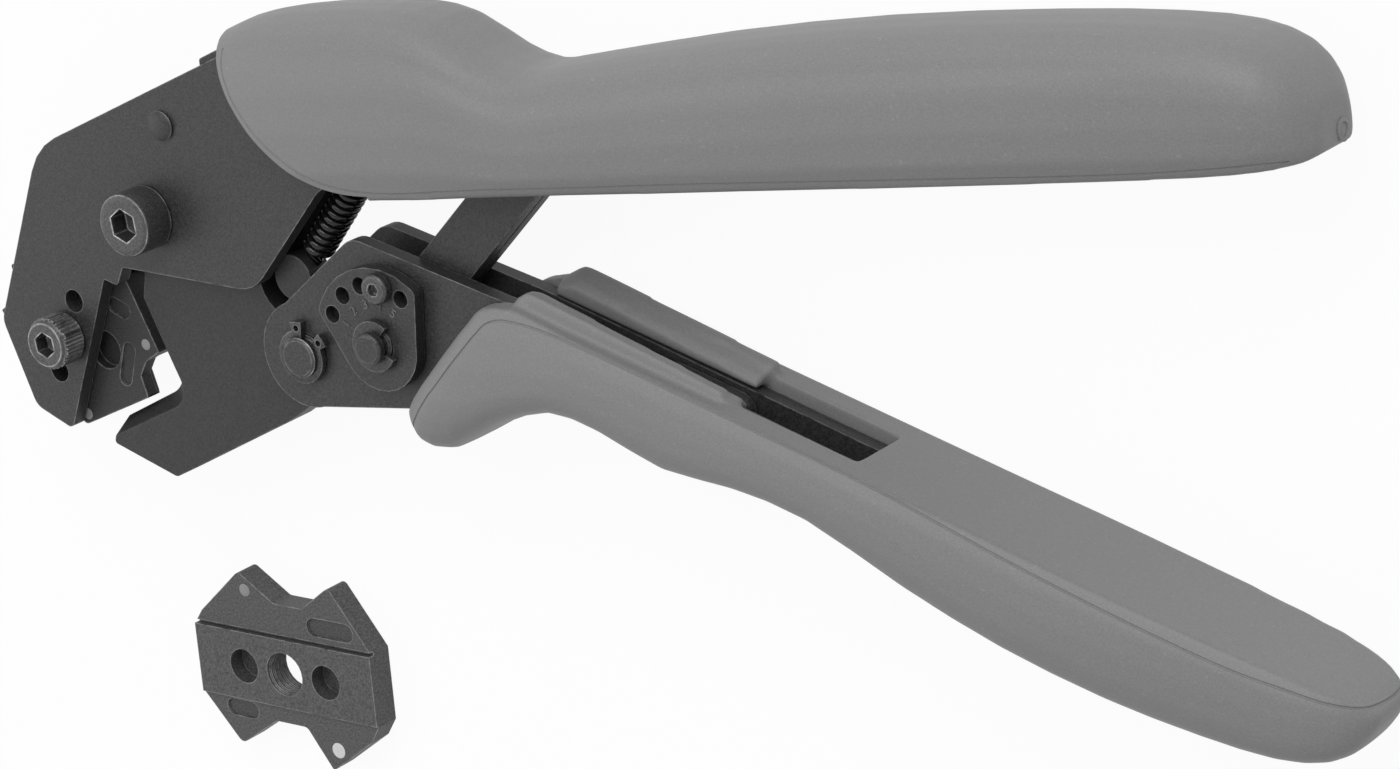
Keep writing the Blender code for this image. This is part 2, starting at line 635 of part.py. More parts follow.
def make_strut():
    """Make the two strut plates with their ratchet teeth, and the rivet through them."""
    half = STRUT_WIDTH / 2
    side = 90.0
    outline = arc(LINK_HIGH, half, STRUT_ANGLE - side, STRUT_ANGLE + side)
    outline += arc(LINK_LOW, STRUT_EYE, STRUT_ANGLE + 50.0, 250.0)
    outline += tooth_points()
    foot = polar(LINK_LOW, STRUT_FOOT, STRUT_ANGLE)
    outline.append(polar(foot, half, STRUT_ANGLE - side))
    middle = polar(LINK_LOW, STRUT_LENGTH * STRUT_RIVET_AT, STRUT_ANGLE)
    holes = [circle(LINK_LOW, ADJUST_CRANK + LINK_PLAY), circle(LINK_HIGH, STRUT_PIN_RADIUS + FIT),
             circle(middle, PEG_RADIUS + FIT)]
    split = FIT / 2
    flat("strut_plate_front", outline, holes, split, INSERT_HALF, STEEL, STRUT_AXIS)
    flat("strut_plate_rear", outline, holes, -INSERT_HALF, -split, STEEL, STRUT_AXIS)
    pin("strut_rivet", middle, PEG_RADIUS, -INSERT_HALF, INSERT_HALF, STEEL, STRUT_AXIS)


def make_ratchet():
    """Make the pawl, its pin and the leaf spring that centres it."""
    tip = polar(PAWL_PIN, PAWL_REACH, PAWL_AIM)
    outline = arc(PAWL_PIN, PAWL_ROOT, PAWL_AIM - 290.0, PAWL_AIM - 70.0)
    outline += [polar(tip, PAWL_TIP, PAWL_AIM - 90.0), polar(tip, PAWL_TIP, PAWL_AIM + 90.0)]
    flat("pawl", outline, [circle(PAWL_PIN, PAWL_PIN_RADIUS + FIT)], -PAWL_HALF, PAWL_HALF, STEEL, PAWL_AXIS)
    pin("pawl_pin", PAWL_PIN, PAWL_PIN_RADIUS, -OUTER_HALF, OUTER_HALF, SCREW_STEEL, HANDLE_AXIS)
    heel = polar(PAWL_PIN, PAWL_ROOT + FIT, -HANDLE_SLOPE)
    anchor = polar(HANDLE_RIVETS[0], SPACER_REACH + SPACER_ROUND + FIT, 180.0 - HANDLE_SLOPE)
    run = Vector(anchor) - Vector(heel)
    side = Vector((-run.y, run.x)).normalized() * LEAF_HALF
    leaf = [tuple(Vector(heel) - side), tuple(Vector(anchor) - side),
            tuple(Vector(anchor) + side), tuple(Vector(heel) + side)]
    flat("pawl_spring", leaf, [], -PAWL_HALF, PAWL_HALF, CLIP_STEEL, HANDLE_AXIS)


def spring_points():
    """Return the return spring's centre line, from the jaw's lug to the peg in the head."""
    low = Vector(SPRING_LUG)
    high = Vector(SPRING_PEG)
    along = (high - low).normalized()
    across = Vector((-along.y, along.x))
    start = low + along * (SPRING_LUG_RADIUS + FIT)
    length = (high - low).length - SPRING_LUG_RADIUS - PEG_RADIUS - 2 * FIT
    lead = 2 * SPRING_WIRE
    turns = SPRING_CURLS * SPRING_POINTS
    points = [(start.x, start.y, 0.0)]
    for i in range(turns + 1):
        share = i / turns
        angle = 2 * pi * SPRING_CURLS * share
        swell = SPRING_COIL * min(1.0, 4 * share * SPRING_CURLS / 3, 4 * (1 - share) * SPRING_CURLS / 3)
        place = start + along * (lead + (length - 2 * lead) * share) + across * (swell * cos(angle))
        points.append((place.x, place.y, swell * sin(angle)))
    end = start + along * length
    return points + [(end.x, end.y, 0.0)]


def least_gap(points, thick, apart):
    """Return the least gap of a tube to itself, taken between points some way apart."""
    best = 1e9
    for i, first in enumerate(points):
        for second in points[i + apart:]:
            span = hypot(first[0] - second[0], first[1] - second[1], first[2] - second[2])
            best = min(best, span - thick)
    return best


def make_spring():
    """Make the return spring as one unbroken tube."""
    points = spring_points()
    curve = bpy.data.curves.new("return_spring", "CURVE")
    curve.dimensions = "3D"
    curve.bevel_depth = SPRING_WIRE / 2 * MM
    curve.bevel_resolution = 1
    curve.use_fill_caps = True
    spline = curve.splines.new("POLY")
    spline.points.add(len(points) - 1)
    for point, place in zip(spline.points, points):
        point.co = (place[0] * MM, place[1] * MM, (MIDDLE_Z + place[2]) * MM, 1.0)
    add("return_spring", curve_mesh("return_spring", curve), SPRING_STEEL, JAW_AXIS)
    gap = least_gap(points[1:-1], SPRING_WIRE, SPRING_POINTS // 2 + 2)
    print(f"return spring: least gap to itself {gap:.2f} mm")


def grip_section(inner, outer, half, square):
    """Return one ring of a grip: a flat inner side, full flanks and a rounded outer side."""
    inner = Vector(inner)
    depth = Vector(outer) - inner
    inner_half = GRIP_INNER * half
    shoulder = inner_half + 0.75 * (half - inner_half)
    ring = [(0.0, -inner_half), (GRIP_SHOULDER, -shoulder)]
    power = 2 / square
    for i in range(GRIP_STEPS + 1):
        angle = pi * i / GRIP_STEPS
        across = abs(cos(angle)) ** power * (-1 if angle < pi / 2 else 1)
        ring.append((GRIP_FULL + (1 - GRIP_FULL) * abs(sin(angle)) ** power, half * across))
    ring += [(GRIP_SHOULDER, shoulder), (0.0, inner_half)]
    return [(inner.x + depth.x * t, inner.y + depth.y * t, MIDDLE_Z + z) for t, z in ring]


def smoothed(rows):
    """Return rows of numbers with a smooth row halfway between each two."""
    ends = [rows[0], *rows, rows[-1]]
    made = []
    for before, first, second, after in zip(ends, ends[1:], ends[2:], ends[3:]):
        middle = [(9 * (b + c) - a - d) / 16 for a, b, c, d in zip(before, first, second, after)]
        made += [first, middle]
    return made + [rows[-1]]


def loft(name, sections, finish, axis=None):
    """Add a closed skin through rings of equal count."""
    work = bmesh.new()
    rings = [[work.verts.new([value * MM for value in point]) for point in ring] for ring in sections]
    for ring, following in zip(rings, rings[1:]):
        for i in range(len(ring)):
            j = (i + 1) % len(ring)
            work.faces.new((ring[i], ring[j], following[j], following[i]))
    work.faces.new(rings[0])
    work.faces.new(rings[-1])
    bmesh.ops.triangulate(work, faces=work.faces)
    bmesh.ops.recalc_face_normals(work, faces=work.faces)
    mesh = bpy.data.meshes.new(name)
    work.to_mesh(mesh)
    work.free()
    return add(name, mesh, finish, axis)


def make_upper_grip():
    """Make the moulded grip on the head's tang."""
    base = 2.0
    stations = [(10.0, base, 20.0, 5.6), (16.0, base, 22.6, 6.6), (20.0, base, 23.9, 7.2),
                (25.0, base, 24.9, 7.9), (34.0, base, 25.2, 8.9), (46.0, base, 24.8, 9.5),
                (53.0, base, 23.0, 9.5), (59.0, base, 19.0, 9.3), (65.0, base, 16.5, 9.2),
                (72.0, base, 16.8, 9.3), (92.0, base, 18.5, 9.7), (114.0, base, 19.3, 10.0),
                (136.0, base, 18.9, 10.0), (151.0, base, 18.0, 9.8), (160.0, 2.1, 16.7, 9.3),
                (165.2, 2.4, 14.6, 8.2), (168.0, 2.7, 11.7, 6.3), (169.5, 3.4, 8.8, 3.6)]
    rings = [grip_section((x, low), (x, high), half, UPPER_SQUARE)
             for x, low, high, half in smoothed(stations)]
    grip = loft("upper_grip", rings, GRIP_PLASTIC)
    front_arc = arc(FRONT_ARC, FRONT_ARC_RADIUS, 162.0, 254.0, FINE_STEP)
    cut_flat(grip, "upper_front_cut", [(0.0, 33.0)] + front_arc + [(36.0, -5.0), (0.0, -5.0)], -20.0, 20.0)
    floor, roof, end = TANG_BOTTOM - GRIP_PLAY, TANG_TOP + GRIP_PLAY, TANG_END + GRIP_PLAY
    crown = SHOULDER_TOP + GRIP_PLAY
    pocket = [(5.0, -5.0), (UPPER_SLOT_END, -5.0), (UPPER_SLOT_END, floor), (end, floor), (end, roof),
              (TANG_NECK + GRIP_PLAY, roof), (SHOULDER_END + GRIP_PLAY, crown), (5.0, crown)]
    cut_flat(grip, "upper_pocket", pocket, -SLOT_HALF, SLOT_HALF)


def top_line(x):
    """Return the height of the lower grip's flat inner side at a place along X."""
    return TOP_FACE - (x - LOWER_SLOT_END) * tan(radians(HANDLE_SLOPE))


def make_lower_grip():
    """Make the moulded grip on the lower handle, with its finger hook and open slot."""
    stations = [(52.8, 4.2, 37.0, -26.6, 7.4), (55.0, 2.0, 38.6, -29.9, 8.8), (60.0, 0.0, 43.6, -30.9, 9.2),
                (65.0, 0.0, 51.8, -27.6, 9.4), (71.0, 0.0, 61.0, -25.7, 9.6), (78.0, 0.0, 68.5, -28.0, 9.6),
                (86.0, 0.0, 77.0, -32.6, 9.6), (95.0, 0.0, 87.0, -34.7, 9.6), (104.4, 0.0, 97.0, -38.3, 9.6),
                (116.0, 0.0, 109.0, -46.3, 9.7), (128.0, 0.0, 121.0, -53.1, 9.9),
                (140.0, 0.0, 133.5, -58.6, 9.8), (150.0, 0.0, 145.0, -62.5, 9.3),
                (158.0, 0.0, 154.0, -64.9, 8.5), (162.2, 0.2, 160.0, -65.1, 7.4),
                (164.9, 0.8, 163.7, -63.4, 5.7), (166.4, 1.8, 165.8, -61.0, 3.2)]
    rings = []
    for x, sink, outer_x, outer_y, half in smoothed(stations):
        rings.append(grip_section((x, top_line(x) - sink), (outer_x, outer_y), half, LOWER_SQUARE))
    grip = loft("lower_grip", rings, GRIP_PLASTIC, HANDLE_AXIS)
    for side in (-1, 1):
        low, high = sorted((side * SLOT_HALF, side * (SLOT_HALF + LIP_WALL)))
        start, crest = LIP_START, LIP_START + LIP_RISE
        lip = rounded([(start, top_line(start) - LIP_ROOT / 2, 0.3),
                       (crest, top_line(crest) + LIP_CREST, 2.0),
                       (LIP_END, top_line(LIP_END) + LIP_HEIGHT), (LIP_END, top_line(LIP_END) - LIP_ROOT),
                       (start, top_line(start) - LIP_ROOT)])
        name = "lower_lip_front" if side > 0 else "lower_lip_rear"
        cut(grip, cutter(name, flat_mesh(name, lip, [], low, high)), "UNION")
    end = LOWER_SLOT_END
    pocket = [(25.0, 5.0), (end, 5.0), (end, top_line(end) - LOWER_SLOT_ROOF),
              (TANG_TIP[0] + GRIP_PLAY, TANG_TIP[1] + GRIP_PLAY / 2),
              (TANG_LOW[2][0] + GRIP_PLAY, TANG_LOW[2][1] - GRIP_PLAY)]
    pocket += [(x, y - GRIP_PLAY) for x, y in (TANG_LOW[1], TANG_LOW[0], HANDLE_HEEL)]
    pocket.append((36.0, HANDLE_HEEL[1] - GRIP_PLAY))
    cut_flat(grip, "lower_pocket", pocket, -SLOT_HALF, SLOT_HALF)


def loose_outline():
    """Return the spare die's outline about its own centre, band along X."""
    lower = [(-9.5, -11.9, 1.0), (-2.8, -7.4, 0.8), (2.6, -7.4, 1.0), (6.6, -13.0, 0.4), (13.8, -7.7, 0.4)]
    upper = [(9.0, 13.7, 0.8), (4.0, 9.9, 0.4), (-0.9, 9.9, 1.0), (-6.8, 13.6, 0.8), (-14.2, 6.9, 0.4)]
    left = [(-LOOSE_BAND, LOOSE_BAND_EDGE, 0.3), (-LOOSE_BAND, -LOOSE_BAND_EDGE, 0.3)]
    right = [(LOOSE_BAND, -LOOSE_BAND_EDGE, 0.3), (LOOSE_BAND, LOOSE_BAND_EDGE, 0.3)]
    return rounded(left + lower + right + upper)


def make_loose_die():
    """Make the spare die that lies beside the tool: a raised band between two thinner wings."""
    floor = -MIDDLE_Z
    wing_top = floor + LOOSE_THICK - LOOSE_STEP
    top = floor + LOOSE_THICK
    turn = radians(LOOSE_TURN)

    def placed(points):
        return [(LOOSE_CENTRE[0] + x * cos(turn) - y * sin(turn),
                 LOOSE_CENTRE[1] + x * sin(turn) + y * cos(turn)) for x, y in points]

    die = flat("loose_die", placed(loose_outline()), [placed(circle((0, 0), LOOSE_THREAD))],
               floor, top, DIE_STEEL)
    far = LOOSE_REACH
    upper = [(-far, LOOSE_STEP_AT), (far, LOOSE_STEP_AT), (far, far), (-far, far)]
    lower = [(-far, -far), (far, -far), (far, -LOOSE_STEP_AT), (-far, -LOOSE_STEP_AT)]
    for name, outline in (("loose_upper_step", upper), ("loose_lower_step", lower)):
        cut_flat(die, name, placed(outline), wing_top, top + OVERCUT)
    for side in (-1, 1):
        blind = placed(circle((side * LOOSE_PITCH, 0.0), LOOSE_BLIND))
        cut_flat(die, f"loose_blind_{side + 2}", blind, top - LOOSE_BLIND_DEPTH, top + OVERCUT)
    for name, mark in (("loose_mark_upper", stadium_outline((8.6, 7.6), 2.7, 1.3, 0.0)),
                       ("loose_mark_lower", stadium_outline((-8.7, -6.6), 1.6, 1.2, 0.0))):
        cut_flat(die, name, placed(mark), wing_top - MARK_DEPTH, wing_top + OVERCUT)


make_head()
make_die()
make_jaw()
make_handle()
make_strut()
make_ratchet()
make_spring()
make_upper_grip()
make_lower_grip()
make_loose_die()
bpy.context.view_layer.update()
for piece in PARTS.objects:
    if piece.type == "MESH":
        piece.data.shade_smooth()
        piece.data.set_sharp_from_angle(angle=radians(30.0))
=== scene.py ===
"""Looks of the crimping plier: finishes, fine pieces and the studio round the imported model."""
import logging
from contextlib import contextmanager
from dataclasses import dataclass, field
from enum import Enum
from math import atan2, copysign, cos, degrees, pi, radians, sin, tan
from typing import Callable, Iterator, Sequence

import bpy
from mathutils import Matrix, Vector


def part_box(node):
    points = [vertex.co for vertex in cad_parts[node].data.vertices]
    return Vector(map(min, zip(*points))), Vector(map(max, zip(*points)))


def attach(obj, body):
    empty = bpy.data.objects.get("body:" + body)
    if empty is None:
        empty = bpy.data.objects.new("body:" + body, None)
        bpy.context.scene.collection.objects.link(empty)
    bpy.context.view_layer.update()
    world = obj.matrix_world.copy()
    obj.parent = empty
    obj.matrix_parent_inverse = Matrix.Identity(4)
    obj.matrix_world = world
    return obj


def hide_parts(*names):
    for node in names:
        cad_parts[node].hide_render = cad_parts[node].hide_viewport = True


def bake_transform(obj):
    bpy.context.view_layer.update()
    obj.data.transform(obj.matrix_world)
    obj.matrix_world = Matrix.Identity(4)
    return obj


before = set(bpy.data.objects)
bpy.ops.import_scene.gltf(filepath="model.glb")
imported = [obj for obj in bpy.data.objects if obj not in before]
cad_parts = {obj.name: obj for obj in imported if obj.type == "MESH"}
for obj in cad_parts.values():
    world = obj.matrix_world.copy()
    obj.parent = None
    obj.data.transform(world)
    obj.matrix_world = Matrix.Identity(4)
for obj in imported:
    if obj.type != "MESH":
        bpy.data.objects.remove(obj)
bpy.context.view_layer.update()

log = logging.getLogger("crimping_plier")
MM = 0.001
MERGE = 2e-6
MIDDLE = 10.0 * MM  # height of the tool's middle plane
OVERCUT = 1.0 * MM  # how far a cutter passes a face
FACETS, SKIN, WIRE = 40.0, 50.0, 60.0  # smoothing angles of cut steel, moulded or painted skin, and wire
Point2 = tuple[float, float]
Point3 = tuple[float, float, float]
Piece = bpy.types.Object


class Body(Enum):
    """The bodies that new pieces ride on."""

    HEAD = "head"
    JAW = "jaw"
    HANDLE = "handle"
    STRUT = "strut"


class Slot(Enum):
    """The record's material slots."""

    BLACK = "black_steel"
    DIE = "die_steel"
    SCREW = "screw_steel"
    CLIP = "clip_steel"
    SPRING = "spring_steel"
    GRIP = "grip_plastic"


class Shade(Enum):
    """Finishes beside a slot's own one; the mounted die's finish and the finish of its marks' floors carry
    painted shade.
    """

    JAW = "jaw"
    PIN = "pin"
    # painted shade: the mounted die's finish is the die steel darkened for the shade of the head plate over
    # it
    MOUNTED = "mounted die"
    # engraved floors of the mounted die's marks: darker by their own engraving, and darker again as painted
    # shade like the mounted die
    RECESS = "recess"
    SPARE_RECESS = "spare recess"
    GREY_DOT = "grey dot"
    WHITE_DOT = "white dot"


class Sock:
    """A shader socket that takes Python arithmetic."""

    def __init__(self, graph: "Graph", socket: bpy.types.NodeSocket) -> None:
        """Keep the graph and the output socket."""
        self.graph = graph
        self.socket = socket

    def _math(self, operation: str, first: object, second: object, clamp: bool = False) -> "Sock":
        """Return the value of a new Math node on two values or Socks, held between 0 and 1 if clamped."""
        settings = {"operation": operation, "use_clamp": clamp}
        return self.graph.node("ShaderNodeMath", settings, {0: first, 1: second})

    def __add__(self, other: object) -> "Sock":
        """Return the sum."""
        return self._math("ADD", self, other)

    def __sub__(self, other: object) -> "Sock":
        """Return the difference."""
        return self._math("SUBTRACT", self, other)

    def __mul__(self, other: object) -> "Sock":
        """Return the product."""
        return self._math("MULTIPLY", self, other)

    def __rsub__(self, other: object) -> "Sock":
        """Return the difference from a number."""
        return self._math("SUBTRACT", other, self)

    __radd__ = __add__

    def held(self) -> "Sock":
        """Return the value held between 0 and 1."""
        return self._math("ADD", self, 0.0, True)


class Graph:
    """The node tree of one material."""

    octave = 0.55  # share of each octave of noise

    def __init__(self, name: str) -> None:
        """Start a material with its Principled shader.

        Args:
            name: the material's name.
        """
        self.material = bpy.data.materials.new(name)
        self.material.use_nodes = True
        self.tree = self.material.node_tree
        self.shader = self.tree.nodes["Principled BSDF"]

    @classmethod
    def of(cls, tree: bpy.types.NodeTree) -> "Graph":
        """Return a graph on a node tree that is already there.

        Args:
            tree: the node tree.
        Returns:
            The graph, without a material of its own.
        """
        made = cls.__new__(cls)
        made.tree = tree
        return made

    def node(self, kind: str, settings: dict | None = None, inputs: dict | None = None,
             out: int | str = 0) -> Sock:
        """Add a node.

        Args:
            kind: the node's type.
            settings: its settings; "stops" holds a ramp's (place, grey) pairs.
            inputs: values or Socks by socket name or number.
            out: the output that is returned.
        Returns:
            The chosen output.
        """
        made = self.tree.nodes.new(kind)
        for key, value in (settings or {}).items():
            if key == "stops":
                ramp = made.color_ramp.elements
                for stop, (place, grey) in zip(ramp, value):
                    stop.position = place
                    stop.color = (grey, grey, grey, 1.0)
            else:
                setattr(made, key, value)
        for key, value in (inputs or {}).items():
            self.feed(made.inputs[key], value)
        return Sock(self, made.outputs[out])

    def feed(self, socket: bpy.types.NodeSocket, value: object) -> None:
        """Link a Sock to a socket, or set the socket's own value.

        Args:
            socket: the input socket.
            value: a Sock or a plain value.
        """
        if isinstance(value, Sock):
            self.tree.links.new(value.socket, socket)
        else:
            socket.default_value = value

    def surface(self, **inputs: object) -> bpy.types.Material:
        """Feed the shader's sockets.

        Args:
            inputs: values or Socks by socket name, with underscores for spaces.
        Returns:
            The material.
        """
        for key, value in inputs.items():
            self.feed(self.shader.inputs[key.replace("_", " ").title()], value)
        return self.material

    def noise(self, scale: float, detail: float) -> Sock:
        """Return noise on Object coordinates.

        Args:
            scale: its scale per metre.
            detail: its octaves.
        Returns:
            The noise, between 0 and 1.
        """
        place = self.node("ShaderNodeTexCoord", out="Object")
        values = {"Vector": place, "Scale": scale, "Detail": detail, "Roughness": self.octave}
        return self.node("ShaderNodeTexNoise", None, values)

    def ramp(self, value: Sock, low: float, high: float) -> Sock:
        """Return a value that rises from 0 at low to 1 at high."""
        return self.node("ShaderNodeValToRGB", {"stops": [(low, 0.0), (high, 1.0)]}, {0: value})

    def tint(self, share: Sock, first: Sequence[float] | Sock, second: Sequence[float] | Sock) -> Sock:
        """Return a colour between two others."""
        values = {0: share, 6: first, 7: second}
        return self.node("ShaderNodeMix", {"data_type": "RGBA"}, values, 2)

    def shade(self, share: Sock, tone: float, ends: Point2) -> Sock:
        """Return a grey between two multiples of a tone."""
        return self.tint(share, grey(tone * ends[0]), grey(tone * ends[1]))

    def times(self, first: Sock, second: Sock) -> Sock:
        """Return the product of two colours."""
        settings = {"data_type": "RGBA", "blend_type": "MULTIPLY"}
        return self.node("ShaderNodeMix", settings, {0: 1.0, 6: first, 7: second}, 2)

    def bump(self, strength: float, depth: float, height: Sock) -> Sock:
        """Return a normal raised by a height, whose depth is in metres."""
        return self.node("ShaderNodeBump", None, {"Strength": strength, "Distance": depth, "Height": height})

    def edges(self, radius: float, gain: float) -> Sock:
        """Return a mask of worn edges.

        Args:
            radius: how far the wear reaches, in metres.
            gain: how fast it grows.
        Returns:
            The mask, 1 where the wear is full.
        """
        soft = self.node("ShaderNodeBevel", {"samples": 8}, {"Radius": radius})
        plain = self.node("ShaderNodeNewGeometry", out="Normal")
        match = self.node("ShaderNodeVectorMath", {"operation": "DOT_PRODUCT"}, {0: soft, 1: plain}, 1)
        return ((1.0 - match) * gain).held()


def grey(value: float) -> tuple[float, float, float, float]:
    """Return a neutral colour of a linear value."""
    return (value, value, value, 1.0)


@dataclass(frozen=True)
class SteelFinish:
    """Dark oxidised steel with grain and bright worn edges."""

    name: str
    tone: float
    worn: float
    roughness: float
    metallic: float
    grain: float = 3800.0
    depth: float = 0.018 * MM
    edge: float = 0.3 * MM
    wear: float = 0.8
    gain: float = 8.0
    cloud: float = 55.0
    chip: float = 700.0
    chip_range: Point2 = (0.3, 0.6)
    speck_range: Point2 = (0.32, 0.72)
    clouds: Point2 = (0.86, 1.12)
    specks: Point2 = (0.5, 1.62)
    sways: Point3 = (0.22, 0.12, 0.1)
    relief: float = 0.5

    def make(self) -> bpy.types.Material:
        """Mix the finish from grain, clouds and chipped edges.

        Returns:
            The material.
        """
        graph = Graph(self.name)
        grain = graph.noise(self.grain, 2.0)
        cloud = graph.noise(self.cloud, 4.0)
        chips = graph.ramp(graph.noise(self.chip, 3.0), *self.chip_range)
        worn = (graph.edges(self.edge, self.gain) * chips * self.wear).held()
        base = graph.shade(cloud, self.tone, self.clouds)
        fine = graph.shade(graph.ramp(grain, *self.speck_range), 1.0, self.specks)
        colour = graph.tint(worn, graph.times(base, fine), grey(self.worn))
        by_grain, by_cloud, by_wear = self.sways
        rough = self.roughness + (grain - 0.5) * by_grain + (cloud - 0.5) * by_cloud - worn * by_wear
        bump = graph.bump(self.relief, self.depth, grain)
        return graph.surface(base_color=colour, roughness=rough.held(), metallic=self.metallic, normal=bump)


@dataclass(frozen=True)
class MouldedFinish:
    """Matte moulded plastic with a fine eroded texture."""

    name: str
    tone: float
    roughness: float
    grain: float = 4600.0
    depth: float = 0.035 * MM
    cloud: float = 38.0
    speck: float = 1500.0
    speck_range: Point2 = (0.68, 0.76)
    speck_share: float = 0.16
    speck_gain: float = 1.9
    fine_range: Point2 = (0.25, 0.75)
    clouds: Point2 = (0.95, 1.05)
    fines: Point2 = (0.86, 1.14)
    sways: Point2 = (0.2, 0.1)
    relief: float = 0.45

    def make(self) -> bpy.types.Material:
        """Mix the finish from grain, clouds and specks.

        Returns:
            The material.
        """
        graph = Graph(self.name)
        grain = graph.noise(self.grain, 2.0)
        cloud = graph.noise(self.cloud, 3.0)
        specks = graph.ramp(graph.noise(self.speck, 1.0), *self.speck_range) * self.speck_share
        base = graph.shade(cloud, self.tone, self.clouds)
        fine = graph.shade(graph.ramp(grain, *self.fine_range), 1.0, self.fines)
        colour = graph.tint(specks, graph.times(base, fine), grey(self.tone * self.speck_gain))
        by_grain, by_cloud = self.sways
        rough = (self.roughness + (grain - 0.5) * by_grain + (cloud - 0.5) * by_cloud).held()
        bump = graph.bump(self.relief, self.depth, grain)
        return graph.surface(base_color=colour, roughness=rough, normal=bump)


@dataclass(frozen=True)
class PaintFinish:
    """A dab of marking paint."""

    name: str
    tone: float
    cloud: float = 900.0
    clouds: Point2 = (0.8, 1.1)
    roughness: float = 0.4
    sway: float = 0.2

    def make(self) -> bpy.types.Material:
        """Mix the paint.

        Returns:
            The material.
        """
        graph = Graph(self.name)
        cloud = graph.noise(self.cloud, 3.0)
        rough = (self.roughness + cloud * self.sway).held()
        return graph.surface(base_color=graph.shade(cloud, self.tone, self.clouds), roughness=rough)


class Bench:
    """Modelling moves that the sub-assemblies share."""

    @staticmethod
    def clear() -> None:
        """Deselect everything."""
        if bpy.context.object and bpy.context.object.mode != "OBJECT":
            bpy.ops.object.mode_set(mode="OBJECT")
        bpy.ops.object.select_all(action="DESELECT")

    @staticmethod
    def pick(piece: Piece) -> None:
        """Select one object alone and make it active.

        Args:
            piece: the object.
        """
        Bench.clear()
        piece.select_set(True)
        bpy.context.view_layer.objects.active = piece

    @staticmethod
    @contextmanager
    def edit(piece: Piece) -> Iterator[None]:
        """Hold a piece in edit mode with everything selected first.

        Args:
            piece: the piece.
        Returns:
            The context in which to work on it.
        """
        Bench.pick(piece)
        bpy.ops.object.mode_set(mode="EDIT")
        bpy.ops.mesh.select_all(action="SELECT")
        yield
        bpy.ops.object.mode_set(mode="OBJECT")

    @staticmethod
    def finish(piece: Piece, kind: str, **settings: object) -> None:
        """Add a modifier and apply it.

        Args:
            piece: the object.
            kind: the modifier's type.
            settings: its settings by name.
        """
        Bench.pick(piece)
        step = piece.modifiers.new(kind.lower(), kind)
        for key, value in settings.items():
            setattr(step, key, value)
        bpy.ops.object.modifier_apply(modifier=step.name)

    @staticmethod
    def settle(piece: Piece) -> None:
        """Put an object's place into its mesh."""
        Bench.pick(piece)
        bpy.ops.object.transform_apply(location=True, rotation=True, scale=True)

    @staticmethod
    def soften(piece: Piece, angle: float) -> None:
        """Shade smooth up to an angle in degrees."""
        Bench.pick(piece)
        bpy.ops.object.shade_smooth_by_angle(angle=radians(angle))

    @staticmethod
    def outward() -> None:
        """Merge doubles and turn all faces outwards, in edit mode."""
        bpy.ops.mesh.select_all(action="SELECT")
        bpy.ops.mesh.remove_doubles(threshold=MERGE)
        bpy.ops.mesh.normals_make_consistent(inside=False)

    @staticmethod
    def rise(height: float) -> None:
        """Draw the selected face up by a height, in edit mode."""
        bpy.ops.mesh.extrude_region_move(TRANSFORM_OT_translate={"value": (0.0, 0.0, height)})

    @staticmethod
    def close_ends() -> None:
        """Close a wire's open ends and turn its faces outwards, in edit mode."""
        bpy.ops.mesh.select_all(action="DESELECT")
        bpy.ops.mesh.select_mode(type="EDGE")
        bpy.ops.mesh.select_non_manifold()
        bpy.ops.mesh.fill_holes(sides=0)
        Bench.outward()

    @staticmethod
    def add(name: str, data: bpy.types.ID) -> Piece:
        """Return a new object of the scene.

        Args:
            name: the object's name.
            data: what it holds.
        Returns:
            The object.
        """
        made = bpy.data.objects.new(name, data)
        bpy.context.scene.collection.objects.link(made)
        return made

    @staticmethod
    def copy_of(node: str, name: str) -> Piece:
        """Return a merged copy of a CAD node as a new object.

        Args:
            node: the CAD node's name.
            name: the new piece's name.
        Returns:
            The copy, with its loose triangles joined.
        """
        made = Bench.add(name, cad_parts[node].data.copy())
        made.data.materials.clear()
        Bench.pick(made)
        bpy.ops.mesh.customdata_custom_splitnormals_clear()
        with Bench.edit(made):
            bpy.ops.mesh.remove_doubles(threshold=MERGE)
        return made

    @staticmethod
    def disc(name: str, corners: int, radius: float, place: Point3 = (0.0, 0.0, 0.0),
             upright: bool = False) -> Piece:
        """Return a flat disc, or an open ring that stands on its edge.

        Args:
            name: the piece's name.
            corners: the corners round it.
            radius: the distance to them, in metres.
            place: its centre.
            upright: whether it is the open ring.
        Returns:
            The disc or ring.
        """
        Bench.clear()
        bpy.ops.mesh.primitive_circle_add(vertices=corners, radius=radius, location=place,
                                          rotation=(pi / 2 if upright else 0.0, 0.0, 0.0),
                                          fill_type="NOTHING" if upright else "NGON")
        made = bpy.context.object
        made.name = name
        Bench.settle(made)
        return made

    @staticmethod
    def block(place: Point3, size: Point3, turn: float = 0.0) -> Piece:
        """Return a box to cut with.

        Args:
            place: its centre, in metres.
            size: its sides, in metres.
            turn: its turn about the vertical, in degrees.
        Returns:
            The box.
        """
        Bench.clear()
        angles = (0.0, 0.0, radians(turn))
        bpy.ops.mesh.primitive_cube_add(size=1.0, location=place, rotation=angles, scale=size)
        made = bpy.context.object
        Bench.settle(made)
        return made

    @staticmethod
    def wind(name: str, corners: int, wire: float, coil: float, pitch: float, turns: int,
             steps: int) -> Piece:
        """Return a wire wound about the vertical, open at both ends.

        Args:
            name: the piece's name.
            corners: the corners round the wire.
            wire: the wire's radius.
            coil: the winding's radius.
            pitch: the rise of one turn.
            turns: how many turns there are.
            steps: parts of one turn.
        Returns:
            The wound wire.
        """
        made = Bench.disc(name, corners, wire, (coil, 0.0, 0.0), True)
        Bench.finish(made, "SCREW", axis="Z", angle=2 * pi, screw_offset=pitch, iterations=turns,
                     steps=steps, render_steps=steps, use_smooth_shade=True)
        return made

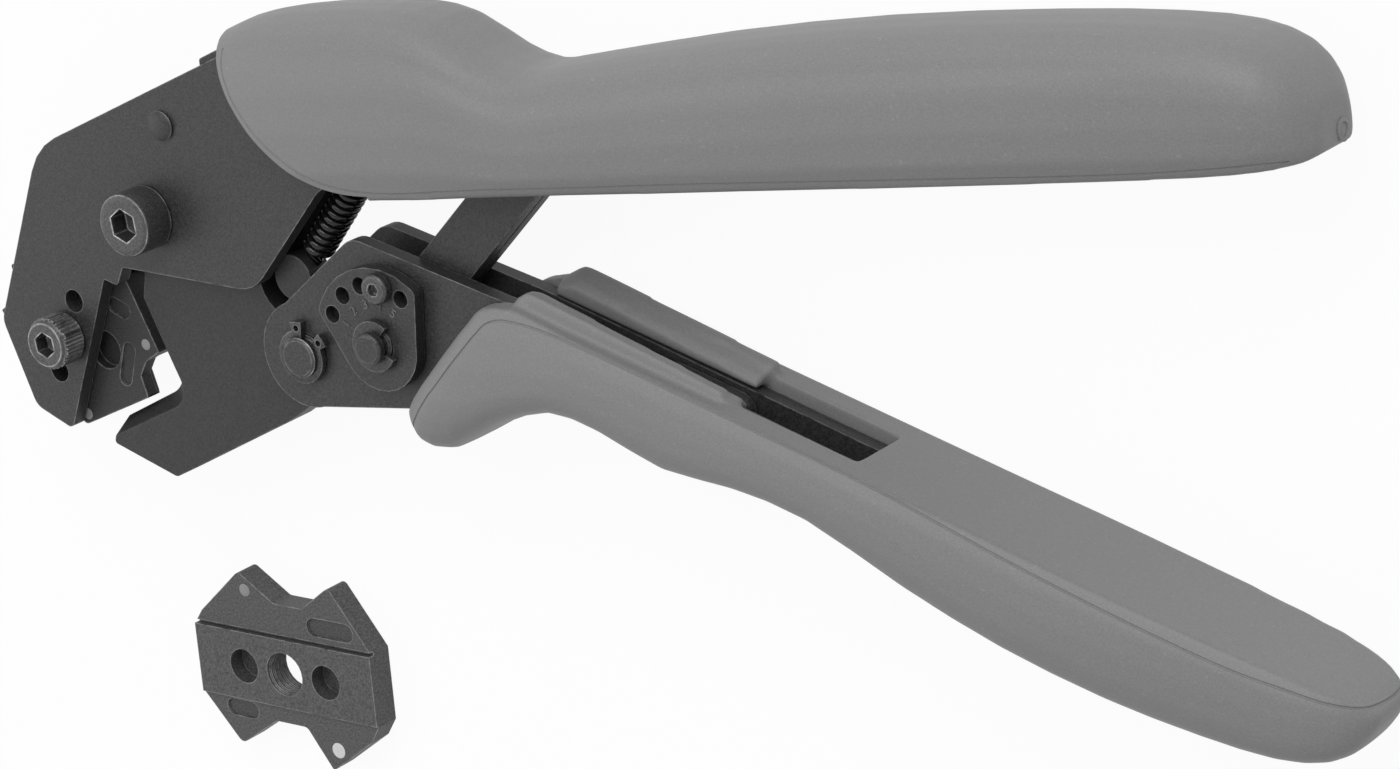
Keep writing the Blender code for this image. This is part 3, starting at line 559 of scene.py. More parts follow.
    @staticmethod
    def lathe(name: str, centre: Point2, profile: Sequence[Point2], steps: int) -> Piece:
        """Turn a piece by extruding and resizing a disc step by step.

        Args:
            name: the piece's name.
            centre: the axis in the row frame, in metres.
            profile: (radius, height) from bottom to top, in metres.
            steps: corners round the axis.
        Returns:
            The turned piece.
        """
        radius, height = profile[0]
        made = Bench.disc(name, steps, radius, (*centre, height))
        with Bench.edit(made):
            for (wide, low), (next_wide, high) in zip(profile, profile[1:]):
                Bench.rise(high - low)
                share = next_wide / wide
                bpy.ops.transform.resize(value=(share, share, 1.0), center_override=(*centre, high))
            Bench.outward()
        return made

    @staticmethod
    def prism(name: str, outline: Sequence[Point2], *levels: float) -> Piece:
        """Return a straight-sided piece on an outline.

        Args:
            name: the piece's name.
            outline: its points in millimetres.
            levels: the heights of its layers in metres, from the lowest.
        Returns:
            The piece.
        """
        made = Bench.disc(name, len(outline), 1.0)
        for spot, (x, y) in zip(made.data.vertices, outline):
            spot.co = (x * MM, y * MM, levels[0])
        with Bench.edit(made):
            for low, high in zip(levels, levels[1:]):
                Bench.rise(high - low)
            Bench.outward()
        return made

    @staticmethod
    def rod(name: str, centre: Point2, radius: float, low: float, high: float, steps: int = 72) -> Piece:
        """Return a straight round piece between two heights, in metres."""
        return Bench.lathe(name, centre, [(radius, low), (radius, high)], steps)

    @staticmethod
    def carve(piece: Piece, tool: Piece, operation: str = "DIFFERENCE",
              solver: str = "EXACT") -> None:
        """Cut a piece with a tool, and remove the tool."""
        Bench.finish(piece, "BOOLEAN", operation=operation, object=tool, solver=solver)
        bpy.data.objects.remove(tool, do_unlink=True)


@dataclass
class Dresser:
    """Gives pieces and carried-over nodes their finish, body and slot."""

    finishes: dict[Slot, bpy.types.Material]
    others: dict[Shade, bpy.types.Material]

    def dress(self, piece: Piece, slot: Slot, body: Body, *nodes: str,
              shade: Shade | None = None) -> Piece:
        """Finish a new piece.

        Args:
            piece: the piece.
            slot: the material slot it takes its finish from.
            body: the body it rides on.
            nodes: the CAD nodes it stands for.
            shade: a finish other than the slot's own.
        Returns:
            The piece.
        """
        piece.data.materials.clear()
        piece.data.materials.append(self.others[shade] if shade else self.finishes[slot])
        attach(piece, body.value)
        if nodes:
            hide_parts(*nodes)
        log.info("%s rides on %s", piece.name, body.value)
        return piece

    def keep(self, node: str, slot: Slot) -> None:
        """Give a carried-over CAD node its finish.

        Args:
            node: the CAD node.
            slot: its material slot.
        """
        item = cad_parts[node]
        if not item.material_slots:
            item.data.materials.append(self.finishes[slot])
        for place in item.material_slots:
            place.material = self.finishes[slot]
        log.info("%s kept", node)


@dataclass
class Plates:
    """Flat steel pieces whose stamped edges are broken."""

    dresser: Dresser
    edge: float = 0.16 * MM
    fine_edge: float = 0.09 * MM
    clip_centre: Point2 = (22.3 * MM, -18.5 * MM)
    lug_ring: float = 3.75 * MM
    lug_hole: float = 0.42 * MM
    lug_angles: tuple[float, float] = (28.0, 88.0)
    end_radius: float = 7.0 * MM
    pin_bore: float = 2.9 * MM

    def build(self) -> None:
        """Make every flat piece with its broken edges."""
        for node, body in (("head_plate_front", Body.HEAD), ("head_plate_rear", Body.HEAD),
                           ("head_spacer", Body.HEAD), ("adjust_wheel", Body.HANDLE),
                           ("strut_plate_front", Body.STRUT), ("strut_plate_rear", Body.STRUT)):
            self.broken(node, self.edge, Slot.BLACK, body)
        for node in ("handle_plate_front", "handle_plate_rear"):
            self.broken(node, self.edge, Slot.BLACK, Body.HANDLE, mend=self.round_end)
        for node in ("circlip_front", "circlip_rear"):
            self.lug_holes(self.broken(node, self.fine_edge, Slot.CLIP, Body.HANDLE))
        self.broken("wheel_clip", self.fine_edge, Slot.CLIP, Body.HANDLE)

    def lug_holes(self, clip: Piece) -> None:
        """Drill the two holes for the circlip tool.

        Args:
            clip: the circlip.
        """
        for angle in self.lug_angles:
            turn = radians(angle)
            spot = (self.clip_centre[0] + self.lug_ring * cos(turn),
                    self.clip_centre[1] + self.lug_ring * sin(turn))
            Bench.carve(clip, Bench.rod("lug_hole", spot, self.lug_hole, -OVERCUT, 2 * MIDDLE + OVERCUT, 24))
        Bench.soften(clip, FACETS)

    def broken(self, node: str, width: float, slot: Slot, body: Body,
               shade: Shade | None = None,
               mend: Callable[[Piece], None] | None = None) -> Piece:
        """Return a copy of a flat node with its sharp edges broken.

        Args:
            node: the CAD node.
            width: the bevel's width in metres.
            slot: its material slot.
            body: the body it rides on.
            shade: a finish other than the slot's own.
            mend: work on the copy before its edges are broken.
        Returns:
            The dressed copy.
        """
        made = Bench.copy_of(node, node + "_finished")
        if mend:
            mend(made)
        self.break_edges(made, width)
        return self.dresser.dress(made, slot, body, node, shade=shade)

    @staticmethod
    def break_edges(made: Piece, width: float) -> None:
        """Join the triangles of a piece's flat sides and break its sharp edges.

        Args:
            made: the piece.
            width: the bevel's width in metres.
        """
        with Bench.edit(made):
            bpy.ops.mesh.dissolve_limited(angle_limit=radians(0.5))
        Bench.finish(made, "BEVEL", width=width, segments=2, limit_method="ANGLE",
                     angle_limit=radians(38.0), use_clamp_overlap=True, miter_outer="MITER_ARC")
        Bench.soften(made, FACETS)
        Bench.finish(made, "WEIGHTED_NORMAL", mode="FACE_AREA", weight=100, keep_sharp=True)

    def round_end(self, made: Piece) -> None:
        """Give a lower handle plate the full round of its front end.

        Args:
            made: the plate's copy.
        """
        levels = [spot.co.z for spot in made.data.vertices]
        low, high = min(levels), max(levels)
        spot = self.clip_centre
        Bench.carve(made, Bench.rod("round_end", spot, self.end_radius, low, high, 120), "UNION")
        Bench.carve(made, Bench.rod("pin_bore", spot, self.pin_bore, low - OVERCUT, high + OVERCUT, 48))


def rounded(corners: Sequence[Point3], steps: int) -> list[Point2]:
    """Return a closed outline whose corners are rounded.

    Args:
        corners: (x, y, radius) in millimetres, where a radius of 0 keeps the corner.
        steps: parts of each round.
    Returns:
        The outline's points in millimetres.
    """
    points = []
    for place, (x, y, radius) in enumerate(corners):
        spot = Vector((x, y))
        if radius <= 0.0:
            points.append((x, y))
            continue
        before = (Vector(corners[place - 1][:2]) - spot).normalized()
        after = (Vector(corners[(place + 1) % len(corners)][:2]) - spot).normalized()
        half = before.angle(after) / 2
        centre = spot + (before + after).normalized() * (radius / sin(half))
        first = spot + before * (radius / tan(half)) - centre
        last = spot + after * (radius / tan(half)) - centre
        ways = [first.slerp(last, step / steps).normalized() for step in range(steps + 1)]
        points += [tuple(centre + way * radius) for way in ways]
    return points


def arc(centre: Point2, radius: float, start: float, end: float, pitch: float = 6.0) -> list[Point3]:
    """Return an arc's points as plain corners, in millimetres and degrees.

    Args:
        centre: the arc's centre.
        radius: its radius.
        start: the angle it starts at.
        end: the angle it ends at.
        pitch: about the angle between two points.
    Returns:
        The corners, each with a rounding radius of 0.
    """
    count = max(2, round(abs(end - start) / pitch))
    turns = [radians(start + (end - start) * step / count) for step in range(count + 1)]
    return [(centre[0] + radius * cos(turn), centre[1] + radius * sin(turn), 0.0) for turn in turns]


@dataclass
class Jaw:
    """The moving jaw, with its notch blended into the prong's bevel and a relief round the spring lug."""

    dresser: Dresser
    back: float = 8.05 * MM
    land: float = 9.65 * MM
    front: float = 11.95 * MM
    edge: float = 0.16 * MM
    pivot: Point2 = (0.0, 0.0)
    pin: Point2 = (22.3, -18.5)
    lug: Point2 = (20.4, -9.2)
    pivot_round: float = 7.4
    pin_round: float = 6.3
    lug_round: float = 3.1
    pivot_span: Point2 = (10.0, 200.0)
    pin_span: Point2 = (264.0, 400.0)
    lug_span: Point2 = (-25.0, 140.0)
    shoulder: Point3 = (-6.4, -11.5, 0.8)
    low_notch: tuple[Point3, ...] = ((-4.5, -20.0, 12.0), (-4.2, -24.16, 3.8), (-16.2, -28.45, 1.0))
    high_notch: tuple[Point3, ...] = ((-3.85, -19.9, 12.0), (-2.03, -25.54, 3.0), (-17.0, -30.5, 0.4))
    foot: tuple[Point3, ...] = ((-17.4, -31.5, 0.5), (-7.3, -36.1, 1.0), (15.3, -28.0, 0.0))
    saddle: tuple[Point3, ...] = ((14.5, -9.0, 0.0), (13.2, -5.5, 0.0))
    neck: Point3 = (-5.2, -8.2, 1.5)
    relief: Point2 = (2.9, 5.65)
    relief_span: Point2 = (158.0, 285.0)
    relief_floor: float = 8.65 * MM
    bores: Point2 = (4.6, 2.9)
    steps: int = 10

    def outline(self, notch: Sequence[Point3]) -> list[Point2]:
        """Return the jaw's outline at one level.

        Args:
            notch: (x, y, radius) of the bend in the notch's wall, of its root and of the prong's tip.
        Returns:
            Points in millimetres.
        """
        corners = [self.shoulder, *notch, *self.foot]
        corners += arc(self.pin, self.pin_round, *self.pin_span)
        corners += arc(self.lug, self.lug_round, *self.lug_span)
        corners += self.saddle
        corners += arc(self.pivot, self.pivot_round, *self.pivot_span)
        return rounded([*corners, self.neck], self.steps)

    def build(self) -> None:
        """Draw the jaw up from its back face, and cut its bores and the relief."""
        lower, higher = self.outline(self.low_notch), self.outline(self.high_notch)
        made = Bench.prism("moving_jaw_finished", lower, self.back, self.land, self.front)
        level = (self.land + self.front) / 2
        for spot in [spot for spot in made.data.vertices if spot.co.z > level]:
            near = min(range(len(lower)), key=lambda i: (Vector(lower[i]) * MM - spot.co.xy).length)
            spot.co.x, spot.co.y = (side * MM for side in higher[near])
        low, high = self.back - OVERCUT, self.front + OVERCUT
        for (x, y), radius in zip((self.pivot, self.pin), self.bores):
            Bench.carve(made, Bench.rod("jaw_bore", (x * MM, y * MM), radius * MM, low, high))
        start, end = self.relief_span
        ring = arc(self.lug, self.relief[1], start, end) + arc(self.lug, self.relief[0], end, start)
        Bench.carve(made, Bench.prism("lug_relief", [spot[:2] for spot in ring], self.relief_floor, high))
        Plates.break_edges(made, self.edge)
        self.dresser.dress(made, Slot.BLACK, Body.JAW, "moving_jaw", shade=Shade.JAW)


@dataclass(frozen=True)
class Cap:
    """A socket head screw; its head is (radius, depth below the top) in millimetres, from the seat up."""

    node: str
    name: str
    centre: Point2
    shank: float
    lead: float
    head: tuple[Point2, ...]
    key: float
    key_depth: float
    smooth: float
    knurled: bool = False


@dataclass
class Screws:
    """Turned heads: pivot screw, die screw, lock screw, rivet and pins."""

    dresser: Dresser
    edge: float = 0.12 * MM
    knurls: int = 38
    knurl_share: float = 3.3 / 3.5 * 0.985
    knurl_reach: float = 0.02 * MM
    key_point: float = 0.08
    key_cone: float = 0.4
    caps: tuple[Cap, ...] = (
        Cap("pivot_screw", "pivot_screw_turned", (0.0, 0.0), 2.9 * MM, 0.35 * MM,
            ((4.15, 4.5), (4.15, 0.4), (4.03, 0.13), (3.75, 0.0), (3.25, 0.0)), 2.25 * MM, 2.6 * MM, 32.0),
        Cap("die_screw", "die_screw_knurled", (-19.5 * MM, -16.0 * MM), 1.95 * MM, 0.4 * MM,
            ((3.3, 4.0), (3.5, 3.75), (3.5, 0.75), (3.3, 0.5), (2.95, 0.0), (2.4, 0.0)),
            1.75 * MM, 2.0 * MM, 22.0, True))

    def build(self) -> None:
        """Make each turned piece."""
        for cap in self.caps:
            self.turned(cap)
        for node, slot, body, shade in (
                ("head_rivet", Slot.BLACK, Body.HEAD, None),
                ("jaw_pin", Slot.BLACK, Body.HANDLE, Shade.PIN),
                ("adjust_pin", Slot.BLACK, Body.HANDLE, Shade.PIN),
                ("pivot_nut", Slot.SCREW, Body.HEAD, None),
                ("wheel_lock_screw", Slot.SCREW, Body.HANDLE, None)):
            Plates(self.dresser).broken(node, self.edge, slot, body, shade)

    def turned(self, cap: Cap) -> None:
        """Make one screw with its coned hexagon socket.

        Args:
            cap: the screw's sizes.
        """
        low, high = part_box(cap.node)
        head = [(wide * MM, high.z - drop * MM) for wide, drop in cap.head]
        profile = [(cap.shank - cap.lead, low.z), (cap.shank, low.z + cap.lead), (cap.shank, head[0][1])]
        made = Bench.lathe(cap.name, cap.centre, profile + head, 3 * self.knurls)
        floor = high.z - cap.key_depth
        key = [(cap.key * self.key_point, floor - cap.key * self.key_cone), (cap.key, floor),
               (cap.key, high.z + OVERCUT)]
        Bench.carve(made, Bench.lathe("key", cap.centre, key, 6))
        if cap.knurled:
            self.knurl(made, Vector(cap.centre), max(head)[0])
        Bench.soften(made, cap.smooth)
        self.dresser.dress(made, Slot.SCREW, Body.HEAD, cap.node)

    def knurl(self, made: Piece, centre: Vector, rim: float) -> None:
        """Press the grooves of a knurl into a head's side.

        Args:
            made: the screw.
            centre: its axis.
            rim: its head's radius.
        """
        for spot in made.data.vertices:
            out = spot.co.xy - centre
            step = round(degrees(atan2(out.y, out.x)) / (360.0 / (3 * self.knurls)))
            if out.length > rim - self.knurl_reach and step % 3 == 0:
                spot.co.x, spot.co.y = centre + out * self.knurl_share


@dataclass
class ReturnSpring:
    """Close-wound spring between the jaw's lug and the peg in the head."""

    dresser: Dresser
    lug: Point2 = (20.4 * MM, -9.2 * MM)
    peg: Point2 = (38.0 * MM, 7.6 * MM)
    lug_reach: float = 3.35 * MM
    peg_reach: float = 1.45 * MM
    wire: float = 0.45 * MM
    coil: float = 1.71 * MM
    turns: int = 15
    lead: float = 1.4 * MM
    draws: Point3 = (0.35, 0.35, 0.3)
    sway: float = 0.25
    reach: float = 1.05
    corners: int = 12
    steps: int = 32

    def build(self) -> None:
        """Wind the wire, draw its ends out and lay the spring in its place."""
        span = Vector(self.peg) - Vector(self.lug)
        length = span.length - self.lug_reach - self.peg_reach
        wound = length - 2 * self.lead
        made = Bench.wind("return_spring_wound", self.corners, self.wire, self.coil, wound / self.turns,
                          self.turns, self.steps)
        self.draw_end(made, 0.0, -self.lead)
        self.draw_end(made, wound, self.lead)
        with Bench.edit(made):
            Bench.close_ends()
        start = Vector(self.lug) + span.normalized() * (self.lug_reach + self.lead)
        made.rotation_euler = (0.0, pi / 2, atan2(span.y, span.x))
        made.location = (start.x, start.y, MIDDLE)
        Bench.settle(made)
        Bench.soften(made, WIRE)
        made.data.materials.append(self.dresser.finishes[Slot.SPRING])
        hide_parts("return_spring")
        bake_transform(made)
        log.info("%s runs from the jaw to the head", made.name)

    def draw_end(self, made: Piece, level: float, lead: float) -> None:
        """Draw one open end of the wire to the axis and along it.

        Args:
            made: the wound wire.
            level: the end's height along the axis.
            lead: how far it runs on, with its direction.
        """
        for spot in made.data.vertices:
            near = abs(spot.co.z - level) <= self.wire * self.reach
            spot.select = near and abs(spot.co.y) < MERGE / 2 and spot.co.x > 0.0
        Bench.pick(made)
        bpy.ops.object.mode_set(mode="EDIT")
        bpy.ops.mesh.select_mode(type="EDGE")
        side = copysign(self.coil * self.sway, lead)
        for share in self.draws:
            move = (-self.coil * share, side, lead * share)
            bpy.ops.mesh.extrude_edges_move(TRANSFORM_OT_translate={"value": move})
        bpy.ops.object.mode_set(mode="OBJECT")


@dataclass
class Dial:
    """Plain raised numbers beside the adjusting wheel's holes."""

    dresser: Dresser
    centre: Point2 = (36.5 * MM, -16.6 * MM)
    ring: float = 5.2 * MM
    first: float = 148.6
    pitch: float = -24.9
    count: int = 5
    size: float = 1.7 * MM
    proud: float = 0.1 * MM

    def build(self) -> None:
        """Set the numbers round the wheel's pin."""
        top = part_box("adjust_wheel")[1].z
        marks = []
        for step in range(self.count):
            angle = radians(self.first + self.pitch * step)
            spot = (self.centre[0] + self.ring * cos(angle), self.centre[1] + self.ring * sin(angle), top)
            Bench.clear()
            bpy.ops.object.text_add(location=spot, rotation=(0.0, 0.0, angle - pi / 2))
            text = bpy.context.object.data
            text.body = str(step + 1)
            text.size = self.size
            text.extrude = self.proud
            text.align_x = text.align_y = "CENTER"
            bpy.ops.object.convert(target="MESH")
            marks.append(bpy.context.object)
            Bench.settle(marks[-1])
        Bench.pick(marks[0])
        for mark in marks:
            mark.select_set(True)
        bpy.ops.object.join()
        made = bpy.context.object
        made.name = "wheel_numbers"
        with Bench.edit(made):
            Bench.outward()
        self.dresser.dress(made, Slot.BLACK, Body.HANDLE)


@dataclass
class Dies:
    """The mounted die and the spare one, with paint dots and a thread."""

    dresser: Dresser
    mounted_top: float = 11.95 * MM
    spare_top: float = 3.6 * MM
    spare_centre: Point2 = (-3.4 * MM, -66.6 * MM)
    thread_radius: float = 3.1 * MM
    thread_pitch: float = 0.7 * MM
    thread_turns: int = 5
    thread_depth: float = 0.22 * MM
    thread_foot: float = 0.25 * MM
    thread_smooth: float = 30.0
    spare_turn: float = -6.8
    band_edge: float = 5.2
    groove: Point3 = (40.0 * MM, 0.45 * MM, 1.17 * MM)
    mark_depth: float = 0.35 * MM
    floor_thick: float = 0.05 * MM
    floor_rim: float = 0.06 * MM
    floor_play: Point2 = (0.02, 0.06)
    dot_foot: float = 0.97
    dot_sunk: float = 0.02 * MM
    dot_rise: float = 0.07 * MM
    dome: tuple[Point2, ...] = ((1.0, 0.2), (0.86, 0.65), (0.55, 0.92), (0.1, 1.0))
    edges: Point2 = (0.2 * MM, 0.32 * MM)

    def build(self) -> None:
        """Make both dies, the thread, the marks' dark floors and the dots."""
        plates = Plates(self.dresser)
        # the mounted die takes a copy of the die steel darkened as painted shade
        plates.broken("fixed_die", self.edges[0], Slot.DIE, Body.HEAD, Shade.MOUNTED)
        plates.broken("loose_die", self.edges[1], Slot.DIE, Body.HEAD, mend=self.band_groove)
        self.thread()
        sunk = self.mark_depth
        low, high = self.mounted_top - sunk, self.spare_top - sunk
        # dark: the mounted marks' floors, whose engraving tone is lowered as painted shade; pale: the
        # spare's engraving tone alone
        dark, pale = Shade.RECESS, Shade.SPARE_RECESS
        turn = self.spare_turn
        less, thinner = self.floor_play
        for name, place, half, radius, angle, top, shade in (
                ("mounted_long_floor", (-11.9, -20.6), 2.1, 1.0, 66.0, low, dark),
                ("mounted_short_floor", (-11.3, -12.9), 0.9, 1.05, -28.0, low, dark),
                ("spare_high_floor", self.on_spare(8.6, 7.6), 2.7, 1.3, turn, high, pale),
                ("spare_low_floor", self.on_spare(-8.7, -6.6), 1.6, 1.2, turn, high, pale)):
            self.mark_floor(name, place, half - less, radius - thinner, angle, top, shade)
        for name, place, top, size, paint in (
                ("mounted_dot_right", (-7.8, -17.9), self.mounted_top, 0.75, Shade.GREY_DOT),
                ("mounted_dot_low", (-21.2, -27.5), self.mounted_top, 0.8, Shade.GREY_DOT),
                ("spare_dot_high", (-7.9, -54.9), self.spare_top, 0.9, Shade.GREY_DOT),
                ("spare_dot_low", (3.2, -77.3), self.spare_top, 1.1, Shade.WHITE_DOT)):
            self.dot(name, (place[0] * MM, place[1] * MM), top, size * MM, paint)

    def on_spare(self, along: float, across: float) -> Point2:
        """Return a place on the spare die.

        Args:
            along: the distance from its centre along the band, in millimetres.
            across: the same across it.
        Returns:
            The place in millimetres.
        """
        turn = radians(self.spare_turn)
        return (self.spare_centre[0] / MM + along * cos(turn) - across * sin(turn),
                self.spare_centre[1] / MM + along * sin(turn) + across * cos(turn))

    def mark_floor(self, name: str, place: Point2, half: float, radius: float, angle: float,
                   top: float, shade: Shade) -> None:
        """Lay the dark floor of an engraved round-ended mark.

        Args:
            name: the piece's name.
            place: the mark's centre in millimetres.
            half: half the length between its end centres, in millimetres.
            radius: its end radius in millimetres.
            angle: its direction in degrees.
            top: the height of the recess's own floor, in metres.
            shade: its finish.
        """
        made = Bench.disc(name, 40, radius * MM)
        for spot in made.data.vertices:
            spot.co.x += copysign(half * MM, spot.co.x)
        with Bench.edit(made):
            Bench.rise(self.floor_thick)
            bpy.ops.mesh.inset(thickness=self.floor_rim)
            Bench.outward()
        made.rotation_euler = (0.0, 0.0, radians(angle))
        made.location = (place[0] * MM, place[1] * MM, top)
        Bench.settle(made)
        self.dresser.dress(made, Slot.DIE, Body.HEAD, shade=shade)

    def band_groove(self, spare: Piece) -> None:
        """Cut the fine groove along the upper edge of the spare die's band."""
        x, y = self.on_spare(0.0, self.band_edge)
        Bench.carve(spare, Bench.block((x * MM, y * MM, self.spare_top), self.groove, self.spare_turn))

    def dot(self, name: str, centre: Point2, top: float, radius: float, paint: Shade) -> None:
        """Make one domed dab of paint.

        Args:
            name: the piece's name.
            centre: where it sits.
            top: the height of the face under it.
            radius: its radius.
            paint: the paint.
        """
        profile = [(radius * self.dot_foot, top - self.dot_sunk)]
        profile += [(radius * wide, top + self.dot_rise * tall) for wide, tall in self.dome]
        made = Bench.lathe(name, centre, profile, 32)
        Bench.soften(made, SKIN)
        self.dresser.dress(made, Slot.DIE, Body.HEAD, shade=paint)

    def thread(self) -> None:
        """Wind the ridge of the spare die's thread in its hole."""
        made = Bench.wind("spare_die_thread", 3, self.thread_depth, self.thread_radius, self.thread_pitch,
                          self.thread_turns, 48)
        with Bench.edit(made):
            Bench.close_ends()
        made.location = (*self.spare_centre, self.thread_foot)
        Bench.settle(made)
        Bench.soften(made, self.thread_smooth)
        self.dresser.dress(made, Slot.DIE, Body.HEAD)


@dataclass(frozen=True)
class Seam:
    """A fine moulding line over a grip's skin, through places in millimetres."""

    name: str
    places: tuple[Point3, ...]
    radius: float = 0.17 * MM
    steps: int = 8

    def path(self, skin: Piece) -> list[Vector]:
        """Return the line's points, smoothed and laid on the skin.

        Args:
            skin: the grip.
        Returns:
            Points along the line, in metres.
        """
        spots = [Vector(place) * MM for place in self.places]
        ends = [spots[0], *spots, spots[-1]]
        line = []
        for before, first, second, after in zip(ends, ends[1:], ends[2:], ends[3:]):
            for step in range(self.steps):
                share = step / self.steps
                pull = (second - before) * 0.5
                push = (after - first) * 0.5
                bend = first * 2 - second * 2 + pull + push
                sway = second * 3 - first * 3 - pull * 2 - push
                line.append(first + pull * share + sway * share ** 2 + bend * share ** 3)
        line.append(spots[-1])
        return [skin.closest_point_on_mesh(spot)[1] for spot in line]

    def cut(self, skin: Piece) -> None:
        """Cut the line into a grip.

        Args:
            skin: the grip.
        """
        bpy.context.view_layer.update()
        line = self.path(skin)
        curve = bpy.data.curves.new(self.name, "CURVE")
        curve.dimensions = "3D"
        curve.bevel_depth = self.radius
        curve.bevel_resolution = 2
        curve.use_fill_caps = True
        spline = curve.splines.new("POLY")
        spline.points.add(len(line) - 1)
        for point, spot in zip(spline.points, line):
            point.co = (*spot, 1.0)
        tool = Bench.add(self.name, curve)
        Bench.pick(tool)
        bpy.ops.object.convert(target="MESH")
        with Bench.edit(tool):
            Bench.outward()
        Bench.carve(skin, tool, solver="MANIFOLD")


@dataclass
class Grips:
    """The two moulded grips, with soft edges, moulding lines and a gate mark."""

    dresser: Dresser
    voxel: float = 0.40 * MM
    rounds: int = 8
    slope: float = 23.3
    lip_start: float = 58.9
    lip_foot: float = 11.35
    lip_crest: Point2 = (61.0, 14.75)
    lip_last: float = 13.3
    lip_shoulder: float = 1.2
    lip_ends: tuple[Point2, ...] = ((-1.0, 89.3), (1.0, 91.3))
    lip_rolls: tuple[Point3, ...] = (
        (4.0 * MM, 5.8 * MM, 0.0), (3.1 * MM, 4.2 * MM, 0.35), (2.3 * MM, 3.3 * MM, 1.1))
    gate: Point3 = (169.5 * MM, 4.6 * MM, 8.7 * MM)
    gate_profile: tuple[Point2, ...] = (
        (1.3, -0.5), (1.3, 0.12), (1.18, 0.22), (0.9, 0.22), (0.75, 0.02), (0.2, 0.1))
    front_centre: Point2 = (41.0 * MM, 25.5 * MM)
    front_radius: float = 22.8 * MM
    front_levels: Point2 = (-10.0 * MM, 30.0 * MM)
    front_block: tuple[Point3, Point3] = ((22.0 * MM, 13.0 * MM, MIDDLE), (38.0 * MM, 34.0 * MM, 30.0 * MM))
    hollow_at: float = 0.77
    hollow_wide: float = 0.12
    hollow_deep: float = 0.32 * MM
    hollow_from: float = 20.0 * MM
    hollow_to: float = 152.0 * MM
    hollow_fade: float = 14.0 * MM
    hollow_facing: float = 0.1
    hollow_pitch: float = 1.0 * MM
    seams: dict[str, Seam] = field(default_factory=lambda: {
        "upper_grip": Seam("upper_flange", (
            (19.9, 21.6, 15.6), (20.2, 18.6, 16.4), (22.2, 14.0, 17.3), (25.9, 9.6, 17.9), (30.9, 6.0, 18.3),
            (36.5, 3.9, 18.2), (43.7, 3.0, 18.2), (54.4, 3.1, 18.3), (71.8, 3.1, 18.3), (91.5, 3.2, 18.7),
            (118.0, 3.1, 18.8), (145.5, 2.9, 18.7), (157.5, 3.1, 18.5), (163.8, 3.3, 17.7),
            (167.0, 3.2, 16.4))),
        "lower_grip": Seam("lower_parting", (
            (40.2, -27.0, 15.0), (41.2, -25.7, 17.4), (43.4, -23.7, 18.2), (47.8, -20.1, 18.8),
            (51.5, -17.0, 18.8), (54.6, -14.5, 18.6), (56.2, -13.4, 18.3), (59.2, -13.1, 18.2),
            (65.4, -14.7, 18.2), (76.6, -19.2, 18.2), (92.5, -26.1, 18.2), (104.0, -31.0, 18.2),
            (112.1, -34.7, 18.3), (125.5, -41.1, 18.8), (138.5, -47.1, 18.9), (150.8, -52.5, 18.5),
            (157.9, -55.2, 17.7), (162.3, -57.0, 16.6), (165.2, -58.1, 14.2), (165.8, -58.8, 8.8),
            (165.2, -58.4, 4.5)))})

    def build(self) -> None:
        """Make both grips."""
        upper = self.moulded("upper_grip", 0.0)
        self.hollow(upper)
        self.trim_front(upper)
        self.gate_mark(upper)
        lower = self.moulded("lower_grip", self.slope)
        for made, node, body in ((upper, "upper_grip", Body.HEAD), (lower, "lower_grip", Body.HANDLE)):
            self.seams[node].cut(made)
            Bench.soften(made, SKIN)
            self.dresser.dress(made, Slot.GRIP, body, node)

    def moulded(self, node: str, slope: float) -> Piece:
        """Return a grip with soft moulded edges.

        Args:
            node: the CAD node.
            slope: the turn in degrees that lays its long edges along the remesh grid.
        Returns:
            The softened copy.
        """
        made = Bench.copy_of(node, node + "_moulded")
        self.turn(made, slope)
        if slope:
            self.lips(made)
        Bench.finish(made, "REMESH", mode="VOXEL", voxel_size=self.voxel, use_smooth_shade=True)
        Bench.finish(made, "SMOOTH", factor=0.5, iterations=self.rounds)
        self.turn(made, -slope)
        return made

    def lips(self, made: Piece) -> None:
        """Join the rolled lips that lie over the plates' edges.

        Args:
            made: the lower grip, turned level.
        """
        start, foot = self.lip_start, self.lip_foot
        for side, end in self.lip_ends:
            for near, far, drop in self.lip_rolls:
                crest, high = self.lip_crest[0], self.lip_crest[1] - drop
                outline = [(start, foot), (end, foot), (end, self.lip_last - drop), (crest, high),
                           (start, high - self.lip_shoulder)]
                levels = sorted((MIDDLE + side * near, MIDDLE + side * far))
                roll = Bench.prism("lip_roll", outline, *levels)
                Bench.pick(made)
                roll.select_set(True)
                bpy.ops.object.join()

    @staticmethod
    def turn(piece: Piece, angle: float) -> None:
        """Turn a piece about the main pivot by an angle in degrees."""
        piece.rotation_euler = (0.0, 0.0, radians(angle))
        Bench.settle(piece)

    def hollow(self, skin: Piece) -> None:
        """Press a shallow hollow along the front of the upper grip, above its palm ridge.

        Args:
            skin: the upper grip.
        """
        reach: dict[int, Point2] = {}
        for spot in skin.data.vertices:
            key = round(spot.co.x / self.hollow_pitch)
            low, high = reach.get(key, (spot.co.y, spot.co.y))
            reach[key] = (min(low, spot.co.y), max(high, spot.co.y))
        ways = [spot.normal.copy() for spot in skin.data.vertices]
        for spot, way in zip(skin.data.vertices, ways):
            low, high = reach[round(spot.co.x / self.hollow_pitch)]
            share = (spot.co.y - low) / (high - low) if high > low else 0.0
            off = abs(share - self.hollow_at) / self.hollow_wide
            ends = min(spot.co.x - self.hollow_from, self.hollow_to - spot.co.x) / self.hollow_fade
            if spot.co.z > MIDDLE and way.z > self.hollow_facing and off < 1.0 and ends > 0.0:
                spot.co -= way * (self.hollow_deep * (1.0 - off * off) ** 2 * min(1.0, ends))

